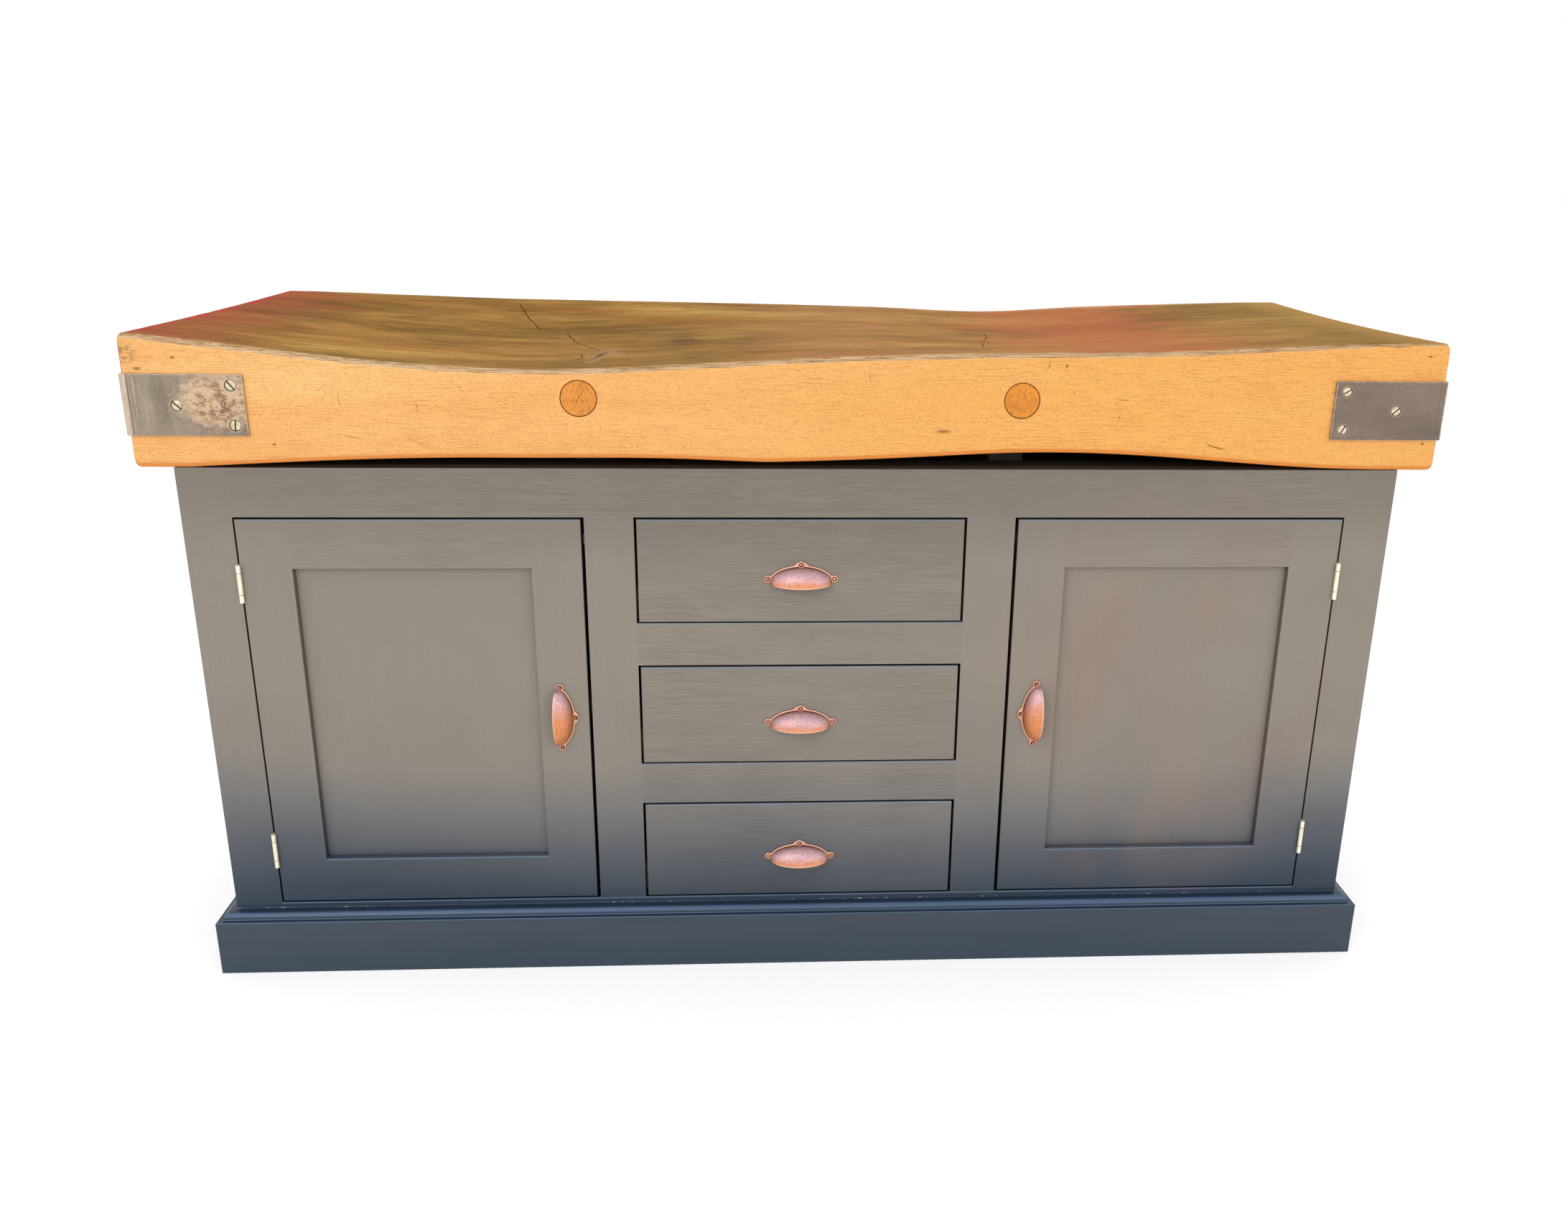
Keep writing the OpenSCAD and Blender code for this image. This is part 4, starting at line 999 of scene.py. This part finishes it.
def make_plugs(*finishes):
    """The four turned plugs over the tie rods. The second finish is for their cracks."""
    middles = [Vector((x, y, PLUG_Z)) for y in (-HALF_D, HALF_D) for x in (-PLUG_X, PLUG_X)]
    marks = plug_marks(middles[0]) + ([], [])
    outline = [(0, 0), (PLUG_R - 0.6 * MM, 0), (PLUG_R, -0.6 * MM), (PLUG_R, -PLUG_T), (0, -PLUG_T)]
    for number, (middle, cracks) in enumerate(zip(middles, marks), 1):
        out = (0, copysign(1, middle.y), 0)
        mesh = coated(lathe("plug", outline, 64), *finishes)
        mesh.transform(Matrix.Translation(middle) @ facing(out))
        for start, end, width in cracks:
            mesh = cut(mesh,
                       coated(wedge([start, (start + end) / 2, end], out, 1.8 * width, 2 * MM), *finishes, index=1))
        new_piece(f"plug_{number}", mesh, 30, replaces=["rod_plugs"])


# ---- ironwork of the block ----


CORNERS = [(-1, -1), (-1, 1), (1, -1), (1, 1)]   # the sides of the straps, as signs of x and y


def screw_places():
    """(place, direction out of the wood) of each strap screw."""
    places = []
    for sx, sy in CORNERS:
        for back, rise in STRAP_SCREWS:
            x, y, z = HALF_W + STRAP_T, HALF_D + STRAP_T, STRAP_MID_Z + rise
            places.append((Vector((sx * (x - back), sy * y, z)), Vector((0, sy, 0))))
            places.append((Vector((sx * x, sy * (y - back), z)), Vector((sx, 0, 0))))
    return places


def strap_mesh(sx, sy):
    """One bent strap with bevelled edges."""
    reach = STRAP_T - STRAP_LEG
    bend = [(STRAP_T * cos(a), STRAP_T * sin(a)) for a in [radians(15 * i) for i in range(7)]]
    outline = [(0, 0), (0, reach), (STRAP_T, reach)] + bend + [(reach, STRAP_T), (reach, 0)]
    b = bmesh.new()
    base = [b.verts.new((sx * (HALF_W + x), sy * (HALF_D + y), STRAP_MID_Z - STRAP_HALF_H)) for x, y in outline]
    face = b.faces.new(base)
    top = bmesh.ops.extrude_face_region(b, geom=[face])["geom"]
    bmesh.ops.translate(b, vec=(0, 0, 2 * STRAP_HALF_H), verts=[v for v in top if isinstance(v, bmesh.types.BMVert)])
    bmesh.ops.recalc_face_normals(b, faces=b.faces)
    sharp = [e for e in b.edges if len(e.link_faces) == 2 and e.calc_face_angle(0) > radians(60)]
    bmesh.ops.bevel(b, geom=sharp, offset=0.8 * MM, segments=2, affect="EDGES", profile=0.5)
    return as_mesh("strap", b)


def make_straps(*finishes):
    """The four corner straps. The second finish is for their countersinks."""
    for number, (sx, sy) in enumerate(CORNERS, 1):
        sinks = [rod((7.5 if sx < 0 else 6.7) * MM, 2.4 * MM, at, out, 24)
                 for at, out in screw_places() if at.x * sx > 0 and at.y * sy > 0]
        mesh = cut(coated(strap_mesh(sx, sy), *finishes), coated(joined(sinks), *finishes, index=1))
        new_piece(f"strap_{number}", mesh, 50, replaces=["corner_straps"])


def make_strap_screws(*finishes):
    """Slotted countersunk heads, each slot at its own angle. The second finish is for the slots."""
    turns = {(-1, 0): -45, (-1, 25): -52, (-1, -25): 87, (1, 0): 42, (1, 25): 30, (1, -25): 62}
    profile = [(0, 0, 0), (3.2, -0.05, 0), (5.6, -0.2, 0), (6.4, -0.5, 0), (6.8, -0.9, 1), (6.8, -1.8, 1),
               (0, -1.8, 1)]
    heads, places = [], []
    for number, (at, out) in enumerate(screw_places()):
        head = lathe("head", [(r * MM, z * MM, shade) for r, z, shade in profile], 32, ("dark",))
        slot = box((14 * MM, 1.9 * MM, 2 * MM))
        heads.append(cut(coated(head, *finishes), coated(slot, *finishes, index=1)))
        side = 1 if at.x > 0 else -1
        in_front = out.y < 0
        angle = turns[side, round((at.z - STRAP_MID_Z) / MM)] if in_front else 37 * number
        turn = Matrix.Rotation(radians(90), 4, "X") if in_front else facing(out)
        size = Matrix.Diagonal((0.89, 0.89, 1, 1)) if side > 0 else Matrix.Identity(4)
        places.append(Matrix.Translation(at) @ turn @ Matrix.Rotation(radians(angle), 4, "Z") @ size)
    mesh = joined(heads, places)
    for finish in finishes:
        mesh.materials.append(finish)
    new_piece("strap_screw_heads", mesh, 35, replaces=["strap_screws"])


# ---- paint bead ----


def make_bead(finish):
    """A thin uneven fillet of sealer where the frame and the sides stand in the plinth."""
    w, d = CABINET_HALF_W, HALF_D
    corners = [(w, d), (w, -d), (-w, -d), (-w, d)]
    rows = []
    for (x0, y0), (x1, y1), out in zip(corners, corners[1:], ((1, 0), (0, -1), (-1, 0))):
        count = round(hypot(x1 - x0, y1 - y0) / (6 * MM))
        for i in range(count + 1):
            x, y = x0 + (x1 - x0) * i / count, y0 + (y1 - y0) * i / count
            at_front_corner = i in (0, count) and abs(y + HALF_D) < 1e-6
            across, ahead = (copysign(1, x), -1) if at_front_corner else out
            r = (0.7 + 0.5 * waver(x * 45, y * 45, 0)) * MM
            rows.append([(x + across * r * k, y + ahead * r * k, PLINTH_H + r * h)
                         for k, h in ((-0.2, -0.3), (1, -0.3), (1, 0.05), (0.35, 0.35), (0.05, 1), (-0.2, 1))])
    new_piece("paint_bead", coated(skinned("paint_bead", rows, caps=True), finish), 60)


# ---- cup pulls ----


def pull_places():
    """(body, matrix) of each pull. Its own frame has x along the cup and z out of the wood."""
    pulls = [(f"drawer_{i}", 0, z, (1, 0, 0), (0, 0, 1)) for i, z in enumerate((574.8, 369.05, 162.05), 1)]
    pulls += [(f"door_{side}", sign * 324.5 * MM, 377.8, (0, 0, 1), (-sign, 0, 0))
              for side, sign in (("left", -1), ("right", 1))]
    return [(body, Matrix.Translation((x, -HALF_D, z * MM)) @ Matrix((course, up, (0, -1, 0))).transposed().to_4x4())
            for body, x, z, course, up in pulls]


def flange_reach(angle):
    """How far the flange reaches from the cup's centre, with the lugs blended in."""
    along_x, up = cos(angle), sin(angle)
    from_lip = degrees(min(angle, pi - angle))
    width = FLANGE_W * min(1, max(0.4, from_lip / 14))
    a, b = CUP_HALF + width, CUP_R + width
    reach = 1 / sqrt((along_x / a) ** 2 + (up / b) ** 2)
    for x, y in LUGS:
        cx, cy = x, y + CUP_DROP
        middle = cx * along_x + cy * up
        off = abs(cx * up - cy * along_x)
        soft_r, steep, cap = (11.5 * MM, 10.5 * MM, 0.8) if x == 0 else (8 * MM, 11 * MM, 0.3)
        if middle <= 0 or off >= soft_r or (off >= LUG_R and from_lip < 8):
            continue
        top = middle + sqrt(LUG_R ** 2 - off ** 2) if off < LUG_R else 0
        fillet = reach + (soft_r - off) ** 2 / steep if from_lip > 8 else 0
        reach = max(reach, top, min(fillet, middle + LUG_R * cap))
    return reach


def flange_mesh():
    count = 150
    rows = []
    for i in range(count + 1):
        angle = radians(-1 + 182 * i / count)
        out = flange_reach(angle)
        d = Vector((cos(angle), sin(angle)))
        inner, foot = [1 / sqrt((d.x / (CUP_HALF + more)) ** 2 + (d.y / (CUP_R + more)) ** 2)
                       for more in (-CUP_WALL, 0.4 * MM)]
        start = min(foot + 0.8 * MM, out - 0.95 * MM)
        # per point: painted highlight on the flange's top, painted shade at its foot and outer edge
        section = [(inner, 0, 0, 0), (inner, FLANGE_T, 0, 0), (foot, FLANGE_T, 0, 1),
                   (start, FLANGE_T + 0.1 * MM, 1, 0), (out - 0.9 * MM, FLANGE_T + 0.1 * MM, 1, 0),
                   (out - 0.25 * MM, FLANGE_T - 0.35 * MM, 0.7, 0.5), (out, FLANGE_T - 1.1 * MM, 0, 0.8),
                   (out, 0, 0, 1)]
        rows.append([(d.x * r, d.y * r - CUP_DROP, z, *shades) for r, z, *shades in section])
    return skinned("flange", rows, caps=True, marks=("painted_highlight_mark", "painted_shade_mark"))


def cup_mesh():
    """The thin spindle shell of the cup, with a rolled lip."""
    turns, last = 22, radians(90 + CUP_TURN)
    section = []
    for i in range(turns + 1):
        t = last * i / turns
        flare = 0.4 * MM * max(0, (i - turns + 1)) ** 2
        # painted shade on the dome next to the flange; the lip's last rows carry painted highlight
        shade = min(1, 1.5 * max(0, 1 - t / radians(25)) ** 1.5)
        section.append((t, 0, flare, max(0, i - turns + 2) / 2, shade))
    section.append((last + radians(1), -0.4 * MM, 0.4 * MM, 1, 0))
    section.append((last + radians(1), -CUP_WALL - 0.2 * MM, 0.2 * MM, 0.5, 0))
    # the inner wall carries painted shade
    section += [(p[0], -CUP_WALL, 0, 0, 0.6) for p in reversed(section[:turns - 1])]
    rows = []
    for j in range(57):
        phi = pi * (0.004 + 0.992 * j / 56)
        row = []
        for t, wall, flare, painted_highlight_mark, dark in section:
            r = (CUP_R + wall + flare) * sin(phi)
            # painted shade also grows towards the cup's two ends
            row.append(((CUP_HALF + wall) * cos(phi), r * cos(t) - CUP_DROP, max(r * sin(t), 0),
                        painted_highlight_mark, max(dark, 0.75 * max(0, 1 - sin(phi) * 2.2))))
        rows.append(row)
    return skinned("cup", rows, caps=True, marks=("painted_highlight_mark", "painted_shade_mark"))


def boss_mesh():
    """The raised ring of a lug about its sunk screw."""
    # the raised ring carries painted highlight, the sunk middle painted shade
    profile = [(4.9, 1.6, 0), (4.6, 2.5, 0), (4.0, 2.95, 0), (3.3, 2.9, 0.2), (2.7, 2.3, 1), (0, 2.2, 1)]
    return lathe("boss", [(r * MM, z * MM, 1 - dark, dark) for r, z, dark in profile], 28, ("painted_highlight_mark", "painted_shade_mark"))


def pull_screw_mesh():
    profile = [(1.6, 1.9), (1.6, 2.4), (1.3, 2.8), (0.7, 3.0), (0, 3.05)]
    head = lathe("screw", [(r * MM, z * MM) for r, z in profile], 24)
    place = Matrix.Translation((0, 0, 3.3 * MM)) @ Matrix.Rotation(0.7, 4, "Z")
    return cut(head, box((7 * MM, 0.5 * MM, 1.4 * MM), place))


def make_pulls(finish, screw_finish):
    """The five cup pulls, and the screws of the drawers' pulls."""
    lug_places = [Matrix.Translation((x, y, 0)) for x, y in LUGS]
    pull = joined([cup_mesh(), flange_mesh()] + [boss_mesh()] * 3, [Matrix.Identity(4)] * 2 + lug_places)
    screws = joined([pull_screw_mesh()] * 3, lug_places)
    for body, place in pull_places():
        kinds = [(pull, finish, "cup_pull", "antique_copper", [f"{body}_pull"]),
                 (screws, screw_finish, "pull_screws", "copper_screws",
                  [f"{body}_screws"] if body.startswith("drawer") else [])]
        for whole, look, kind, slot, replaces in kinds:
            mesh = coated(whole.copy(), look)
            mesh.transform(place)
            new_piece(f"{body}_{kind}", mesh, 40, body, replaces)


place_camera()
light_stage()

door_top = 655.5
dress(paint("rails", "X", 1.0, 1.0, (98.5,)), "rail_*")
dress(paint("drawer_rails", "X", 0.9, 0.96, (512.5, 307)), "drawer_rails")
dress(paint("drawers", "X", 1.1, 0.935, (door_top, 449.5, 244), lift=0.024), "drawer_*_front")
dress(paint("door_rails", "X", 0.7, 0.98, (166.1, door_top)), "door_*_rails")
dress(paint("door_stiles", "Z", 0.28, 1.0, (door_top,)), "door_*_stiles")
dress(paint("panels", "Z", 0.28, 1.0, (), ((353, 659.2), (166.1, 589.5)), 0.012), "door_*_panel")
dress(paint("upright", "Z", 0.28), "stile_*", "mullions", "side_panel_*", "back_boards")
dress(skirting(), "plinth_*")
make_bead(bead_paint())

dress(pine("pine_x", "X"), "bottom_board", "shelves", "drawer_*_back")
dress(pine("pine_y", "Y"), "drawer_runners", "drawer_guides", "drawer_*_sides")
dress(pine("pine_z", "Z"), "partitions")
# the bearers under the block are near black: painted shade for the gap under the block
dress(pine("painted_shade_pine", "X", "#3a322c", "#26201c"), "bearers")
dress(pine("birch_ply", "X", "#e2c498", "#cea674"), "drawer_*_bottom")

dress(knuckle_brass(), "frame_leaves", "hinge_pins", "frame_screws", "door_*_leaves")
dress(metal("peg_brass", ["#c8b070", "#e2cc8c", "#f0dea8"], 0.34, 120), "shelf_pegs")
dress(metal("dark_steel", ["#605c58", "#78746e", "#8c867e"], 0.45, 60), "tie_rods", "door_catches")
dress(fixings(), "door_*_fixings")

crack = crack_wood()
end_shades = ["#d69c5c", "#e4ac6a", "#ecb878"]
make_block(block_face(), block_top(), end_grain("block_end_grain", end_shades, (0, 0.1, 0.6), 900), crack)
make_plugs(plug_wood(), crack)
rust = metal("old_rust", ["#3a3028", "#4a3e34", "#5a4c3e"], 0.6, 200, 0.1, 0.2)
make_straps(strap_steel(), rust)
make_strap_screws(slotted_steel(), rust)
screw_copper = metal("screw_copper", ["#d69676", "#f6c4a6", "#ffdec8"], 0.36, 300, 0.05, 0.7)
make_pulls(copper(), screw_copper)
